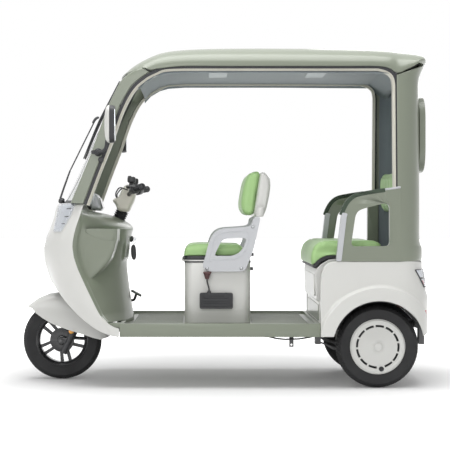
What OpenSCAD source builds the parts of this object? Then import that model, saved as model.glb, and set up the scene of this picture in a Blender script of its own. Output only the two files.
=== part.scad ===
// Electric tricycle with a roofed cab that is open at both sides, millimetres.
// +X is forward, +Y the vehicle's left, +Z up. The origin is on the ground under the middle.

/* [Wheels and axles] */
// Front axle ahead of the origin
front_axle_x = 838; // [800:1:870]
// Rear axle behind the origin
rear_axle_x = 766; // [740:1:790]
// Outer radius of every tyre
tyre_r = 205; // [195:1:210]
// Width of every tyre
tyre_w = 80; // [70:1:86]
// Radius of the rims' flanges
rim_r = 136; // [130:1:142]
// Distance between the middles of the rear tyres
rear_track = 720; // [700:1:730]
// Radius of the front axle and of the rear stub axles
axle_r = 8; // [6:0.5:10]

/* [Steering] */
// Rake of the steering axis from the vertical
rake = 24; // [20:0.5:27]
// Where the steering axis crosses the cover's height, ahead of the origin
steer_x = 526; // [515:1:540]
// Height at which steer_x is taken
steer_z = 875; // [860:1:890]
// Radius of the steering stem
stem_r = 15; // [12:0.5:18]
// Half the distance between the middles of the fork's legs
leg_y = 72; // [66:1:78]
// Radius of a fork leg
leg_r = 17; // [14:0.5:20]
// Half the width of the handlebar
bar_y = 330; // [300:1:350]
// Half the width of the front mudguard
guard_y = 104; // [100:1:112]
// Distance of the front mudguard's crown from the axle
guard_r = 252; // [245:1:258]

/* [Cab] */
// Half the width of the cab at its waist
half_w = 450; // [440:1:458]
// How far each side leans in between the waist and the roof
lean = 42; // [20:1:60]
// Height of the roof's crown
roof_z = 1716; // [1690:1:1735]
// Thickness of the roof's and walls' skins
skin = 6; // [4:0.5:8]
// Thickness of the lower body's panels
panel = 4; // [3:0.5:6]
// Half the width of the rear window
window_y = 268; // [220:1:290]
// Lower edge of the rear window
window_low = 1105; // [1080:1:1150]
// Upper edge of the rear window
window_high = 1430; // [1380:1:1460]
// Thickness of the windows
glass_t = 5; // [4:0.5:6]

/* [Floor and frame] */
// Top of the floor
floor_z = 310; // [305:1:320]
// Underside of the sills
sill_z = 258; // [250:1:265]
// Height of the lip round the floor
lip_h = 14; // [10:1:18]
// Front end of the floor
floor_front = 512; // [500:1:515]
// Rear end of the floor, behind the origin
floor_back = 478; // [470:1:480]
// Half the distance between the frame's rails
rail_y = 180; // [160:1:195]
// Radius of the frame's rails
rail_r = 20; // [16:1:24]

/* [Seats] */
// Half the width of the driver's seat box
box_y = 268; // [240:1:285]
// Front of the driver's seat box
box_front = 194; // [180:1:205]
// Back of the driver's seat box, behind the origin
box_back = 140; // [130:1:150]
// Top of the driver's seat box
box_z = 632; // [600:1:640]
// Wall of the driver's seat box
box_wall = 4; // [3:0.5:6]
// Thickness of the driver's cushion
cushion_h = 62; // [50:1:75]
// Top of the bench's base
bench_z = 640; // [620:1:650]
// Thickness of the bench's cushion
bench_h = 76; // [60:1:85]
// Distance of the bench's cushion from the cab's side
bench_gap = 82; // [75:1:110]

/* [Hidden] */

// Small numbers that more than one module shares
run = 0.05;          // radial clearance of a shaft that turns in a bore
rest = 0.3;          // gap between a piece and its seat
axle_z = tyre_r;     // height of the axles
bench_y = half_w - bench_gap;
sage = [0.53, 0.56, 0.48];
white = [0.89, 0.89, 0.87];
cream = [0.78, 0.78, 0.68];
green = [0.66, 0.80, 0.53];
silver = [0.80, 0.81, 0.83];
dark = [0.15, 0.15, 0.17];

// Grid tools. A grid is a list of rows of points, and its outer side is cross(along rows, along columns)
function unit(v) = v / norm(v);
function lerp(a, b, t) = a + (b - a) * t;
function flip(g) = [for (row = g) [for (k = [len(row) - 1:-1:0]) row[k]]];
function mirror_y(g) = flip([for (row = g) [for (p = row) [p.x, -p.y, p.z]]]);
function grid_normal(g, i, j) = let (n = len(g) - 1, m = len(g[0]) - 1)
    unit(cross(g[min(i + 1, n)][j] - g[max(i - 1, 0)][j], g[i][min(j + 1, m)] - g[i][max(j - 1, 0)]));
function shifted(g, d) = [for (i = [0:len(g) - 1]) [for (j = [0:len(g[0]) - 1])
    g[i][j] + d * grid_normal(g, i, j)]];

// A sheet of thickness t whose outer side is the grid
module sheet(g, t) {
    n = len(g) - 1;
    m = len(g[0]) - 1;
    inner = shifted(g, -t);
    k = (n + 1) * (m + 1);
    function o(i, j) = i * (m + 1) + j;
    function q(i, j) = k + o(i, j);
    polyhedron(
        points = concat([for (row = g) each row], [for (row = inner) each row]),
        faces = concat(
            [for (i = [0:n - 1], j = [0:m - 1]) each [[o(i, j), o(i, j + 1), o(i + 1, j + 1)],
                [o(i, j), o(i + 1, j + 1), o(i + 1, j)]]],
            [for (i = [0:n - 1], j = [0:m - 1]) each [[q(i, j), q(i + 1, j + 1), q(i, j + 1)],
                [q(i, j), q(i + 1, j), q(i + 1, j + 1)]]],
            [for (i = [0:n - 1]) each [[o(i, 0), o(i + 1, 0), q(i + 1, 0)], [o(i, 0), q(i + 1, 0), q(i, 0)],
                [o(i + 1, m), o(i, m), q(i, m)], [o(i + 1, m), q(i, m), q(i + 1, m)]]],
            [for (j = [0:m - 1]) each [[o(0, j + 1), o(0, j), q(0, j)], [o(0, j + 1), q(0, j), q(0, j + 1)],
                [o(n, j), o(n, j + 1), q(n, j + 1)], [o(n, j), q(n, j + 1), q(n, j)]]]));
}

// A solid through closed rings of equal length, each ring counterclockwise seen from the last one
module loft(rings) {
    n = len(rings) - 1;
    m = len(rings[0]);
    polyhedron(
        points = [for (ring = rings) each ring],
        faces = concat(
            [for (i = [0:n - 1], j = [0:m - 1]) let (a = i * m + j, b = i * m + (j + 1) % m)
                each [[a, a + m, b + m], [a, b + m, b]]],
            [[for (j = [0:m - 1]) j]],
            [[for (j = [m - 1:-1:0]) n * m + j]]));
}

// A tube along a route
function route_dir(p, i) = unit(p[min(i + 1, len(p) - 1)] - p[max(i - 1, 0)]);
module tube_along(p, r, sides) {
    up = [0, 1, 0];
    loft([for (i = [0:len(p) - 1]) let (d = route_dir(p, i), s = unit(cross(up, d)), u = cross(d, s))
        [for (k = [0:sides - 1]) p[i] + r * (s * cos(360 * k / sides) + u * sin(360 * k / sides))]]);
}

// A straight round bar between two points
module bar(a, b, r) {
    v = b - a;
    translate(a)
        rotate([0, acos(v.z / norm(v)), atan2(v.y, v.x)])
            cylinder(r = r, h = norm(v), $fn = 32);
}

// A plate of thickness t in the XZ plane, its outline in X and Z, with its low face at y
module side_plate(outline, y, t) {
    translate([0, y + t, 0])
        rotate([90, 0, 0])
            linear_extrude(t)
                polygon(outline);
}

// A rectangle with rounded corners as points
function round_rect(x0, y0, x1, y1, r, n = 5) = [
    for (c = [[x1 - r, y1 - r, 0], [x0 + r, y1 - r, 90], [x0 + r, y0 + r, 180], [x1 - r, y0 + r, 270]],
        k = [0:n]) [c.x + r * cos(c.z + 90 * k / n), c.y + r * sin(c.z + 90 * k / n)]];

// Steering axis: a point on it at a height, and a turn into its own frame, Z up along it
function axis_at(z) = [steer_x + (steer_z - z) * tan(rake), 0, z];
module on_axis(z) {
    translate(axis_at(z))
        rotate([0, -rake, 0])
            children();
}

// Half width of the cab's side at a height
waist_z = 700;
function side_y(z) = half_w - lean * pow(max(0, (z - waist_z) / (1600 - waist_z)), 1.4);

// Superellipse share in and out of a corner: 0 at the side, 1 at the middle
function spow(v, e) = sign(v) * pow(abs(v), e);

// Nose. Rows from the cowl down: middle x, middle z, side x, side z, half width beyond half_w,
// lift of the lower edge
nose_rows = [[822, 915, 676, 914, -48, 1], [850, 907, 690, 909, -22, 1], [864, 862, 706, 862, -14, 1],
    [880, 804, 725, 806, -8, 1], [908, 760, 738, 755, -4, 1], [933, 705, 744, 705, -1, 1],
    [931, 665, 736, 650, 0, 1.1], [928, 628, 716, 590, 1, 1.3], [923, 598, 688, 528, 1, 1.5],
    [917, 578, 654, 456, 1, 1.7], [911, 561, 608, 366, 1, 2.0], [905, 545, 520, 258, 0, 2.6]];
nose_cols = 18;
function nose_point(r, a) = [lerp(r[2], r[0], pow(sin(a), 0.8)),
    (half_w + r[4]) * spow(cos(a), 0.5), lerp(r[3], r[1], pow(sin(a), 0.8 * r[5]))];
nose_grid = flip([for (r = nose_rows) [for (k = [0:nose_cols]) nose_point(r, 180 * k / nose_cols)]]);

module nose_shell() {
    color(white)
        sheet(nose_grid, panel);
}

// Headlamps: a piece of the nose's own surface, proud of it, on each side
lamp_proud = 12;
module headlamps() {
    rows = [1, 2, 3];
    color(silver)
        for (cols = [[3:6], [12:15]])
            sheet(shifted([for (i = rows) [for (k = cols) nose_grid[i][k]]], lamp_proud), lamp_proud - 1.5);
}

// The nose's side edge at a height: its x, or its half width beyond half_w
function nose_side(z, column) = lookup(z, [for (k = [len(nose_rows) - 1:-1:0])
    [nose_rows[k][3], nose_rows[k][column]]]);

// Leg shield. Rows from the floor up: middle x, middle z, side z. Its sides butt on the nose's inner face
shield_foot = floor_z + lip_h + rest;
shield_rows = [[462, shield_foot + 0.3, shield_foot + 3.2], [478, 417, 417], [492, 517, 517],
    [500, 606, 606], [490, 690, 690], [476, 755, 755], [471, 796, 804], [520, 833, 836], [600, 862, 860],
    [700, 880, 874], [790, 894, 885]];
shield_cols = 14;
shield_grid = [for (r = shield_rows) [for (k = [-shield_cols / 2:shield_cols / 2])
    let (u = 2 * k / shield_cols, w = half_w + nose_side(r[2], 4) - panel - 0.7 - max(0, r[2] - 860) / 10)
        [lerp(r[0], nose_side(r[2], 2) + 2, pow(abs(u), 1.8)), w * u, lerp(r[1], r[2], u * u)]]];

module leg_shield() {
    color(sage)
        difference() {
            sheet(shield_grid, panel);
            on_axis(steer_z - 90)
                cylinder(r = stem_r + 12, h = 140);
        }
}

// Liner of the front wheel's well, on the leg shield's hidden side
well_gap = 8;
module wheel_well() {
    color(dark)
        sheet(shifted([for (i = [0:5]) [for (k = [1:shield_cols - 1])
            i > 0 ? shield_grid[i][k] : lerp(shield_grid[0][k], shield_grid[1][k], 0.2)]],
            -panel - well_gap), 3);
}

// Windscreen. Rows from the cowl up: middle x, height, side x. Its sides stand a frame's depth in
// from the cab's
screen_rows = [[824, 916, 754], [768, 1027, 700], [704, 1166, 644], [646, 1290, 592], [588, 1406, 540],
    [540, 1500, 494], [516, 1552, 468]];
pillar_d = 46;
screen_cols = 12;
module windscreen() {
    color([0.6, 0.75, 0.75, 0.4])
        sheet([for (r = screen_rows) [for (k = [0:screen_cols]) let (u = 1 - 2 * k / screen_cols)
            [lerp(r[0], r[2], u * u), (side_y(r[1]) - pillar_d - 0.4) * u, r[1]]]], glass_t);
}

// Pillars. Stations upward: front edge x and z, rear edge x and z
pillar_rows = [[756, 918, 678, 914.8], [711, 1027, 639, 1020], [655, 1166, 587, 1158], [612, 1290, 541, 1282],
    [569, 1406, 501, 1396], [534, 1480, 464, 1462], [508, 1525, 442, 1497], [462, 1564, 405, 1528],
    [404, 1585, 358, 1562]];
function pillar_ring(r) = let (f = [r[0], r[1]], b = [r[2], r[3]], y = side_y(r[1]),
    d = pillar_d * (r[1] > 1570 ? 0.4 : 1))
    [for (c = [[0, 0], [0, d], [0.75, d], [1, d], [1, d * 0.4], [0.88, 0]])
        let (p = lerp(b, f, c.x)) [p.x, y - c.y, p.y]];
module pillars() {
    color(sage) {
        loft([for (r = pillar_rows) pillar_ring(r)]);
        mirror([0, 1, 0])
            loft([for (r = pillar_rows) pillar_ring(r)]);
    }
}

// Roof. Rows from the front back: middle x, side x, middle z below the crown, side z,
// half width beyond the cab's sides at the roof
roof_rows = [[526, 400, 156, 1609, -4], [470, 385, 110, 1603, -2], [395, 362, 68, 1597, 0],
    [300, 318, 26, 1591, 1], [190, 200, 8, 1590, 1], [0, 0, 1, 1590, 1], [-280, -280, 0, 1590, 1],
    [-560, -560, 3, 1590, 1], [-800, -790, 10, 1588, 0], [-905, -862, 18, 1560, -3],
    [-980, -916, 28, 1584, -8], [-1024, -958, 42, 1606, -16], [-1043, -976, 66, 1620, -26],
    [-1034, -972, 96, 1618, -32], [-1014, -958, 98, 1615, -42]];
roof_cols = 16;
function roof_point(r, a) = let (u = spow(cos(a), 0.7), s = pow(sin(a), 0.85))
    [lerp(r[0], r[1], 0.35 * u * u + 0.65 * pow(u, 8)), (side_y(1600) + r[4]) * u, lerp(r[3], roof_z - r[2], s)];
roof_grid = [for (r = roof_rows) [for (k = [0:roof_cols]) roof_point(r, 180 * k / roof_cols)]];
module roof_panel() {
    color(sage)
        sheet(roof_grid, skin);
}

// Lining under the roof, with two square lamps' recesses left to the finish
liner_rows = [3, 4, 5, 6, 7, 8, 9];
liner_gap = 8;
module roof_liner() {
    color([0.36, 0.40, 0.42])
        sheet(shifted([for (i = liner_rows) [for (k = [3:13]) roof_grid[i][k]]], -skin - liner_gap), 4);
}

// Rear wall in plan: a superellipse quarter on each side of the middle, from the opening's rear edge back
wall_x = -858;
wall_d = 138;
function wall_point(a, z, d, y) = [wall_x - d * pow(abs(sin(a)), 0.8), y * spow(cos(a), 0.4), z];
// Rows upward: height at the sides, height at the middle, extra depth
body_z = 630;
wall_rows = [[body_z + 0.5, body_z + 0.5, -1], [body_z + 10, body_z + 10, 12], [696, 696, 12],
    [736, 736, 0], [900, 900, 0], [1105, 1105, 0], [1270, 1270, 0],
    [1430, 1430, 0], [1500, 1530, 2], [1530, 1578, 13], [1555, 1614, 30]];
wall_cols = 22;
wall_grid = flip([for (r = wall_rows) [for (k = [0:wall_cols]) let (a = 180 * k / wall_cols)
    wall_point(a, lerp(r[0], r[1], pow(sin(a), 0.9)), wall_d + r[2], side_y(r[0]))]]);
module window_hole(gap, depth) {
    translate([-1100, 0, 0])
        rotate([90, 0, 90])
            linear_extrude(depth)
                polygon(round_rect(-window_y + gap, window_low + gap, window_y - gap, window_high - gap, 70));
}

// A frame round the window stands proud of the wall
surround_x = -1020;
surround_w = 30;
module rear_wall() {
    color(sage)
        difference() {
            union() {
                sheet(wall_grid, skin);
                translate([surround_x, 0, 0])
                    rotate([90, 0, 90])
                        linear_extrude(40)
                            polygon(round_rect(-window_y - surround_w, window_low - surround_w,
                                window_y + surround_w, window_high + surround_w, 90));
            }
            window_hole(0, 150);
        }
}
module rear_window() {
    color([0.6, 0.75, 0.75, 0.4])
        intersection() {
            sheet(shifted([for (i = [4:8]) [for (k = [3:wall_cols - 3]) wall_grid[i][k]]], -0.5), glass_t);
            window_hole(1.5, 150);
        }
}

// Trim round each side opening: x and z of its outer edge, front to back
trim_path = [[676, 908.5], [617, 1069.5], [558, 1221.5], [505, 1372], [450, 1477], [388, 1535], [336, 1563],
    [291, 1581], [200, 1586], [-300, 1586], [-770, 1586], [-815, 1572], [-843, 1546], [-852, 1505],
    [-852, 1200], [-852, 1000]];
trim_w = 18;
function path_normal(p, i) = let (d = unit(p[min(i + 1, len(p) - 1)] - p[max(i - 1, 0)])) [d.y, -d.x];
module opening_trims() {
    color(cream)
        for (s = [-1, 1])
            loft([for (i = [0:len(trim_path) - 1]) let (o = trim_path[i],
                q = o - trim_w * path_normal(trim_path, i), y = s * (side_y(o.y) - 12))
                s < 0 ? [[o.x, y, o.y], [o.x, y + 26, o.y], [q.x, y + 26, q.y], [q.x, y, q.y]]
                    : [[o.x, y, o.y], [q.x, y, q.y], [q.x, y - 26, q.y], [o.x, y - 26, o.y]]]);
}

// Lower rear sides. Columns round the arch: angle on the arch, outer x, outer z
side_front = -floor_back - 0.5;
side_cols = [[14, side_front, sill_z + 2], [24, side_front, 330], [34, side_front, 400],
    [46, side_front, 480], [57, side_front - 4, 560],
    [66, -504, 614], [72, -548, 630], [82, -640, 630], [92, -750, 630], [103, -850, 630], [114, -940, 630],
    [122, -990, 618], [132, -997, 560], [145, -1016, 460], [157, -1018, 360], [166, -1010, 268]];
arch_gap = 26;
arch_r = tyre_r + arch_gap;
flare = 24;
function low_d(z) = lookup(z, [[250, 182], [440, 182], [500, 170], [560, 158], [600, 151], [640, 150]]);
function low_y(x, z) = half_w * pow(max(0.02, 1 - pow(max(0, (wall_x - x) / low_d(z)), 2.5)), 0.2);
function side_point(c, v) = let (
    p0 = [-rear_axle_x + arch_r * cos(c[0]), axle_z + arch_r * sin(c[0])],
    p = lerp(p0, [c[1], c[2]], v),
    d = norm(p - p0), bump = flare * (d < 50 ? 1 - 0.15 * d / 50 : max(0, 0.85 - (d - 50) / 30)))
    [p.x, min(low_y(p.x, p.y) + bump, half_w + flare), p.y];
side_vs = [0, 0.12, 0.26, 0.45, 0.7, 1];
// The outer edge turns in by a flange, which is narrow where the tail panel meets it
flange = 44;
function flange_point(c) = let (p = side_point(c, 1)) [p.x, p.y - (c[1] > -970 ? flange : 6), p.z];
side_grid = flip(concat([for (v = side_vs) [for (c = side_cols) side_point(c, v)]],
    [[for (c = side_cols) flange_point(c)]]));
module rear_sides() {
    color(white) {
        sheet(side_grid, panel);
        sheet(mirror_y(side_grid), panel);
    }
}

// Tail panel between the lower sides' rear edges. Its top turns in under the rear wall
tail_rows = [[268, 0], [330, 0], [400, 0], [440, 0], [470, 0], [500, 0], [560, 0], [600, 0], [630, 0], [630, 40]];
tail_edge = [[268, -1010], [360, -1018], [460, -1016], [560, -997], [618, -990], [630, -988]];
tail_gap = 12;
module tail_panel() {
    color(white)
        sheet([for (r = tail_rows) let (z = r.x, w = low_y(lookup(z, tail_edge), z) - tail_gap)
            [for (k = [-8:8]) let (y = w * k / 8)
                [wall_x - low_d(z) * pow(1 - pow(abs(y) / half_w, 5), 0.4) + r.y, y, z]]], panel);
}

// Linings of the rear wheel arches
liner_t = 3;
liner_w = 150;
module arch_liners() {
    r = arch_r - 5;
    color(dark)
        for (s = [-1, 1])
            translate([-rear_axle_x, s * (half_w - 24 - liner_w / 2) + liner_w / 2, axle_z])
                rotate([90, 0, 0])
                    intersection() {
                        difference() {
                            cylinder(r = r, h = liner_w, $fn = 96);
                            translate([0, 0, -1])
                                cylinder(r = r - liner_t, h = liner_w + 2, $fn = 96);
                        }
                        translate([-r - 1, r * sin(14), -1])
                            cube([2 * r + 2, r, liner_w + 2]);
                    }
}

// Tail lamps and reflectors, on the corners of the lower body. Low, high, first and last column
module lamp_patch(z0, z1, a0, a1, n) {
    g = flip([for (i = [0:3]) [for (k = [0:n]) let (z = lerp(z0, z1, i / 3), a = lerp(a0, a1, k / n))
        wall_point(a, z, low_d(z), half_w)]]);
    sheet(shifted(g, 12), 10);
}
module tail_lamps() {
    color(silver) {
        lamp_patch(500, 588, 30, 60, 6);
        lamp_patch(500, 588, 120, 150, 6);
    }
}

// Bench. The base is an open-fronted box with a front panel, and carries the hinged cushion
bench_front = -floor_back - rest;
bench_rear = -842;
base_rear = bench_rear - 84;
bench_hinge_x = bench_rear + 25;
bench_hinge_z = bench_z + 6;
module bench_base() {
    w = bench_y - 6;
    low = axle_z + arch_r + 27;
    color(white) {
        knuckles(bench_hinge_x, bench_hinge_z, 170, [bench_hinge_x + knuckle_r, bench_z - 4]);
        difference() {
            side_block(-w, w, [[bench_front, floor_z + rest], [bench_front, 420], [bench_front + 18, 434],
                [bench_front + 20, 600], [bench_front + 12, bench_z - 12], [bench_front, bench_z],
                [base_rear, bench_z], [base_rear, low], [bench_front - 50, low], [bench_front - 50, floor_z + rest]]);
            translate([bench_rear + 30, -w + 24, low + 30])
                cube([bench_front - bench_rear - 60, 2 * w - 48, bench_z]);
        }
    }
}
module side_block(y0, y1, outline) {
    side_plate(outline, y0, y1 - y0);
}

// Bench cushion on its base, hinged at its rear edge
module bench_cushion_base() {
    color(dark) {
        knuckles(bench_hinge_x, bench_hinge_z, 170 - knuckle_l - 1, [bench_rear + 36, bench_z + 14]);
        translate([0, 0, bench_z + rest])
            linear_extrude(16)
                polygon(round_rect(bench_rear + 30, -bench_y + 12, bench_front + 18, bench_y - 12, 40));
    }
}
module bench_cushion() {
    z0 = bench_z + 16 + 2 * rest;
    x0 = bench_rear + 36;
    x1 = bench_front + 42;
    color(green)
        side_block(-bench_y, bench_y, [[x1 - 76, z0], [x1 - 26, z0 + 4], [x1 - 4, z0 + 22], [x1, z0 + 40],
            [x1 - 8, z0 + 62], [x1 - 36, z0 + bench_h], [x0 + 30, z0 + bench_h - 2],
            [x0, z0 + bench_h - 26], [x0, z0 + 4]]);
}

// Upright ribs of the bench's backrest
bench_ribs = 11;
bench_back_y = bench_y - 38;
back_x = -900;
module bench_backrest() {
    pitch = 2 * bench_back_y / bench_ribs;
    color(green)
        translate([back_x, 0, 0]) {
            side_block(-bench_back_y, bench_back_y, [[-8, 872], [2, 876], [10, 1072], [4, 1088],
                [-12, 1094], [-26, 1084], [-30, 880]]);
            for (k = [0:bench_ribs - 1])
                translate([0, -bench_back_y + pitch * (k + 0.5), 0])
                    side_block(-pitch * 0.36, pitch * 0.36, [[-6, 886], [16, 900], [24, 1056],
                        [16, 1076], [0, 1084]]);
            for (s = [-1, 1])
                translate([0, s * bench_back_y * 0.6, 0])
                    side_block(-25, 25, [[-20, bench_z + rest], [-12, bench_z + rest], [-12, 890], [-20, 890]]);
        }
}

// Armrests beside the bench, each a panel with a window
arm_y = half_w - 4;
arm_t = 30;
arm_top = [[-584, 858], [-612, 912], [-646, 952], [-700, 966], [-834, 980]];
module arm_outline() {
    polygon(concat([[-556, body_z + rest]], arm_top, [[-834, body_z + rest]]));
}
module armrests() {
    color(sage)
        for (y = [arm_y - arm_t, -arm_y])
            translate([0, y + arm_t, 0])
                rotate([90, 0, 0])
                    linear_extrude(arm_t)
                        difference() {
                            arm_outline();
                            polygon([[-630, 716], [-642, 862], [-660, 886], [-690, 894], [-800, 922],
                                [-816, 912], [-816, 712], [-806, 704], [-640, 706]]);
                        }
}

// Rubber strips along the armrests' tops
pad_h = 13;
module armrest_pads() {
    low = [for (i = [0:len(arm_top) - 1]) arm_top[i] + rest * path_normal(arm_top, i)];
    high = [for (i = [len(arm_top) - 1:-1:0]) arm_top[i] + (rest + pad_h) * path_normal(arm_top, i)];
    color([0.24, 0.30, 0.22])
        for (y = [arm_y - arm_t - 8, -arm_y])
            side_plate(concat(low, high), y, arm_t + 8);
}

// Knuckles of a lid's hinge on a line along Y: on each side one joined to the box and one to the lid
knuckle_r = 4.5;
knuckle_l = 38;
module knuckles(x, z, y, foot) {
    for (s = [-1, 1]) {
        translate([x, s * y + knuckle_l / 2, z])
            rotate([90, 0, 0])
                cylinder(r = knuckle_r, h = knuckle_l, $fn = 32);
        translate([min(x, foot.x), s * y - knuckle_l / 2, min(z, foot.y)])
            cube([abs(foot.x - x), knuckle_l, abs(foot.y - z)]);
    }
}

// Driver's seat box, open at the top, on the floor
seat_hinge_x = box_front + 12;
module seat_box() {
    z0 = floor_z + rest;
    color(white) {
        knuckles(seat_hinge_x, box_z - 1, 170, [box_front - 2, box_z - 9]);
        difference() {
            translate([0, 0, z0])
                linear_extrude(box_z - z0)
                    polygon(round_rect(-box_back, -box_y, box_front, box_y, 46));
            translate([0, 0, z0 + box_wall])
                linear_extrude(box_z)
                    polygon(round_rect(-box_back + box_wall, -box_y + box_wall, box_front - box_wall,
                        box_y - box_wall, 42));
        }
    }
}
module battery() {
    color([0.3, 0.3, 0.32])
        translate([-box_back + 30, -180, floor_z + rest + box_wall + rest])
            cube([box_front + box_back - 60, 360, 225]);
}

// Driver's cushion on its base, hinged at the seat box's front edge
base_h = 18;
cushion_low = box_z + rest;
module cushion_base() {
    color(dark) {
        knuckles(seat_hinge_x, box_z - 1, 170 - knuckle_l - 1, [box_front + 2, box_z + 7]);
        translate([0, 0, cushion_low])
            linear_extrude(base_h)
                polygon(round_rect(-box_back + 22, -box_y + 14, box_front + 4, box_y - 14, 44));
    }
}
module driver_cushion() {
    z0 = cushion_low + base_h + rest;
    w = box_y - 8;
    outline = [[-box_back + 26, 0], [-box_back + 22, cushion_h - 20], [-box_back + 34, cushion_h - 6],
        [-20, cushion_h - 4], [120, cushion_h], [box_front - 14, cushion_h - 6], [box_front + 4, cushion_h - 24],
        [box_front + 2, 8], [box_front - 8, 0]];
    color(green)
        translate([0, 0, z0])
            side_block(-w, w, outline);
}

// Seat frames, one plate with a window at each side of the driver's seat
frame_y = box_y + rest;
frame_t = 26;
module seat_frames() {
    color(silver)
        for (y = [frame_y, -frame_y - frame_t])
            translate([0, y + frame_t, 0])
                rotate([90, 0, 0])
                    linear_extrude(frame_t)
                        difference() {
                            polygon([[104, 606], [92, 640], [73, 716], [54, 760], [28, 783], [-2, 792],
                                [-112, 799], [-146, 806], [-152, 843], [-190, 849], [-172, 766], [-157, 697],
                                [-142, 652], [-113, 582], [-90, 574], [60, 574], [92, 584]]);
                            polygon([[12, 721], [-10, 740], [-90, 745], [-121, 739], [-104, 696],
                                [-78, 666], [-46, 653], [44, 653]]);
                        }
}

// Driver's backrest: a pad on a shell that the seat frames carry
back_y = 262;
module backrest_pad() {
    color(green)
        side_block(-back_y + 6, back_y - 6, [[-158, 850], [-134, 846], [-104, 856], [-90, 880],
            [-90, 925], [-101, 985], [-113, 1034], [-133, 1065], [-170, 1082], [-194, 1080], [-186, 1040], [-172, 950]]);
}
module backrest_shell() {
    color(white) {
        side_block(-back_y, back_y, [[-158.4, 850], [-172.4, 950], [-186.4, 1040], [-194.4, 1080], [-215, 1078],
            [-240, 1054], [-244, 1014], [-236, 956], [-222, 890], [-206, 853]]);
        for (s = [-1, 1])
            translate([0, s * (back_y + 20) - 9, 0])
                side_block(-11, 29, [[-162, 849.4], [-170, 900], [-212, 900], [-204, 849.4]]);
    }
}

// Ribbed case on the seat box's left side, and the lead that hangs between it and the plug above
case_y = box_y + rest;
case_d = 34;
case_x = -50;
case_w = 168;
plug_x = 80;
gland_x = 70;
plug_y = box_y + 21;
plug_low = 536;
gland_high = 478;
module side_case() {
    color(dark) {
        translate([case_x, case_y, 386])
            cube([case_w, case_d - 8, 80]);
        for (k = [0:9])
            translate([case_x + 8 + k * 16, case_y + case_d - 8, 390])
                cube([8, 8, 72]);
        translate([gland_x, plug_y, 464])
            cylinder(r = 9, h = gland_high - 464);
        translate([plug_x, plug_y, plug_low])
            cylinder(r1 = 10, r2 = 20, h = 574 - rest - plug_low, $fn = 48);
    }
}
lead_r = 4;
lead_route = [[plug_x, plug_y, plug_low - rest], [plug_x, plug_y, 528], [plug_x - 1, plug_y, 518],
    [plug_x - 4, plug_y, 508], [plug_x - 7, plug_y, 498], [gland_x + 1, plug_y, 488], [gland_x, plug_y, gland_high + rest]];
module case_lead() {
    color([0.1, 0.1, 0.11])
        tube_along(lead_route, lead_r, 8);
}

// Instrument pod on the leg shield's deck, ahead of the column
pod_x = 662;
module dash_pod() {
    color(silver)
        side_block(-88, 88, [[pod_x - 44, 878], [pod_x - 22, 950], [pod_x - 10, 968], [pod_x + 8, 974],
            [pod_x + 26, 966], [pod_x + 30, 940], [pod_x + 22, 884]]);
}

// Ignition lock with its key on the leg shield, near its left edge
module ignition() {
    color(dark)
        translate([479.8, 0, 735])
            rotate([0, -102, 0]) {
                cylinder(r = 14, h = 12);
                translate([-1.5, -9, 12])
                    cube([3, 18, 26]);
            }
}

// Brake pedal on the floor, on an arm from the leg shield's foot
module brake_pedal() {
    color(dark) {
        translate([454, -92, 440])
            rotate([0, -28, 0])
                cube([60, 70, 10], center = true);
        bar([458, -92, 438], [470, -92, 406], 7);
        translate([470, -92, 406])
            sphere(r = 8, $fn = 32);
        bar([470, -92, 406], [483, -92, 406], 6);
    }
}

// Mirrors: a shell on an arm from a foot on each pillar. Rings from the glass forward: x, share of the size
mirror_foot = [618, 0, 1168];
mirror_c = [566, half_w + 68, 1302];
mirror_half = [58, 92];
module one_mirror() {
    foot = [mirror_foot.x, side_y(mirror_foot.z - 14) + rest, mirror_foot.z];
    translate(foot)
        rotate([-90, 0, 0])
            cylinder(r = 14, h = 12);
    bar(foot + [0, 8, 0], [mirror_c.x + 12, mirror_c.y - 14, mirror_foot.z + 6], 7);
    bar([mirror_c.x + 12, mirror_c.y - 14, mirror_foot.z + 2], [mirror_c.x + 4, mirror_c.y - 8, mirror_c.z - 80], 7);
    loft([for (r = [[-20, 0.90], [-14, 1], [6, 0.97], [20, 0.74]])
        [for (p = round_rect(-mirror_half.x, -mirror_half.y, mirror_half.x, mirror_half.y, 40))
            [mirror_c.x + r[0], mirror_c.y + p.x * r[1], mirror_c.z + p.y * r[1]]]]);
}
module mirrors() {
    color(dark) {
        one_mirror();
        mirror([0, 1, 0])
            one_mirror();
    }
}

// Wiper, parked up the middle of the windscreen
module wiper() {
    color(dark) {
        translate([832, 60, 924])
            rotate([0, -20, 0])
                cylinder(r = 11, h = 26);
        bar([838, 60, 944], [800, 50, 1075], 6);
        bar([800, 50, 1075], [640, 12, 1385], 3.5);
        bar([722, 34, 1160], [560, 0, 1540], 6);
    }
}

// Tyre and rims. Profiles in radius and height along the axle, turned about it
module wheel_at(x, y) {
    translate([x, y, axle_z])
        rotate([90, 0, 0])
            children();
}
// The tyre's outer half section is an arc between its beads
tyre_arc = [for (a = [-62:15.5:62]) [tyre_r - 41 + 41 * cos(a), tyre_w / 2 * sin(a) / sin(62)]];
module tyre() {
    rotate_extrude($fn = 96)
        polygon(concat([[rim_r - 3, 24], [rim_r - 3, 29.4], [rim_r + 1.4, 29.9], [rim_r + 1.6, 34]],
            [for (k = [len(tyre_arc) - 1:-1:0]) [tyre_arc[k].x, tyre_arc[k].y]],
            [[rim_r + 1.6, -34], [rim_r + 1.4, -29.9], [rim_r - 3, -29.4], [rim_r - 3, -24],
            [rim_r + 12, -22], [tyre_r - 9, -20],
            [tyre_r - 9, 20], [rim_r + 12, 22]]));
}
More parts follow.
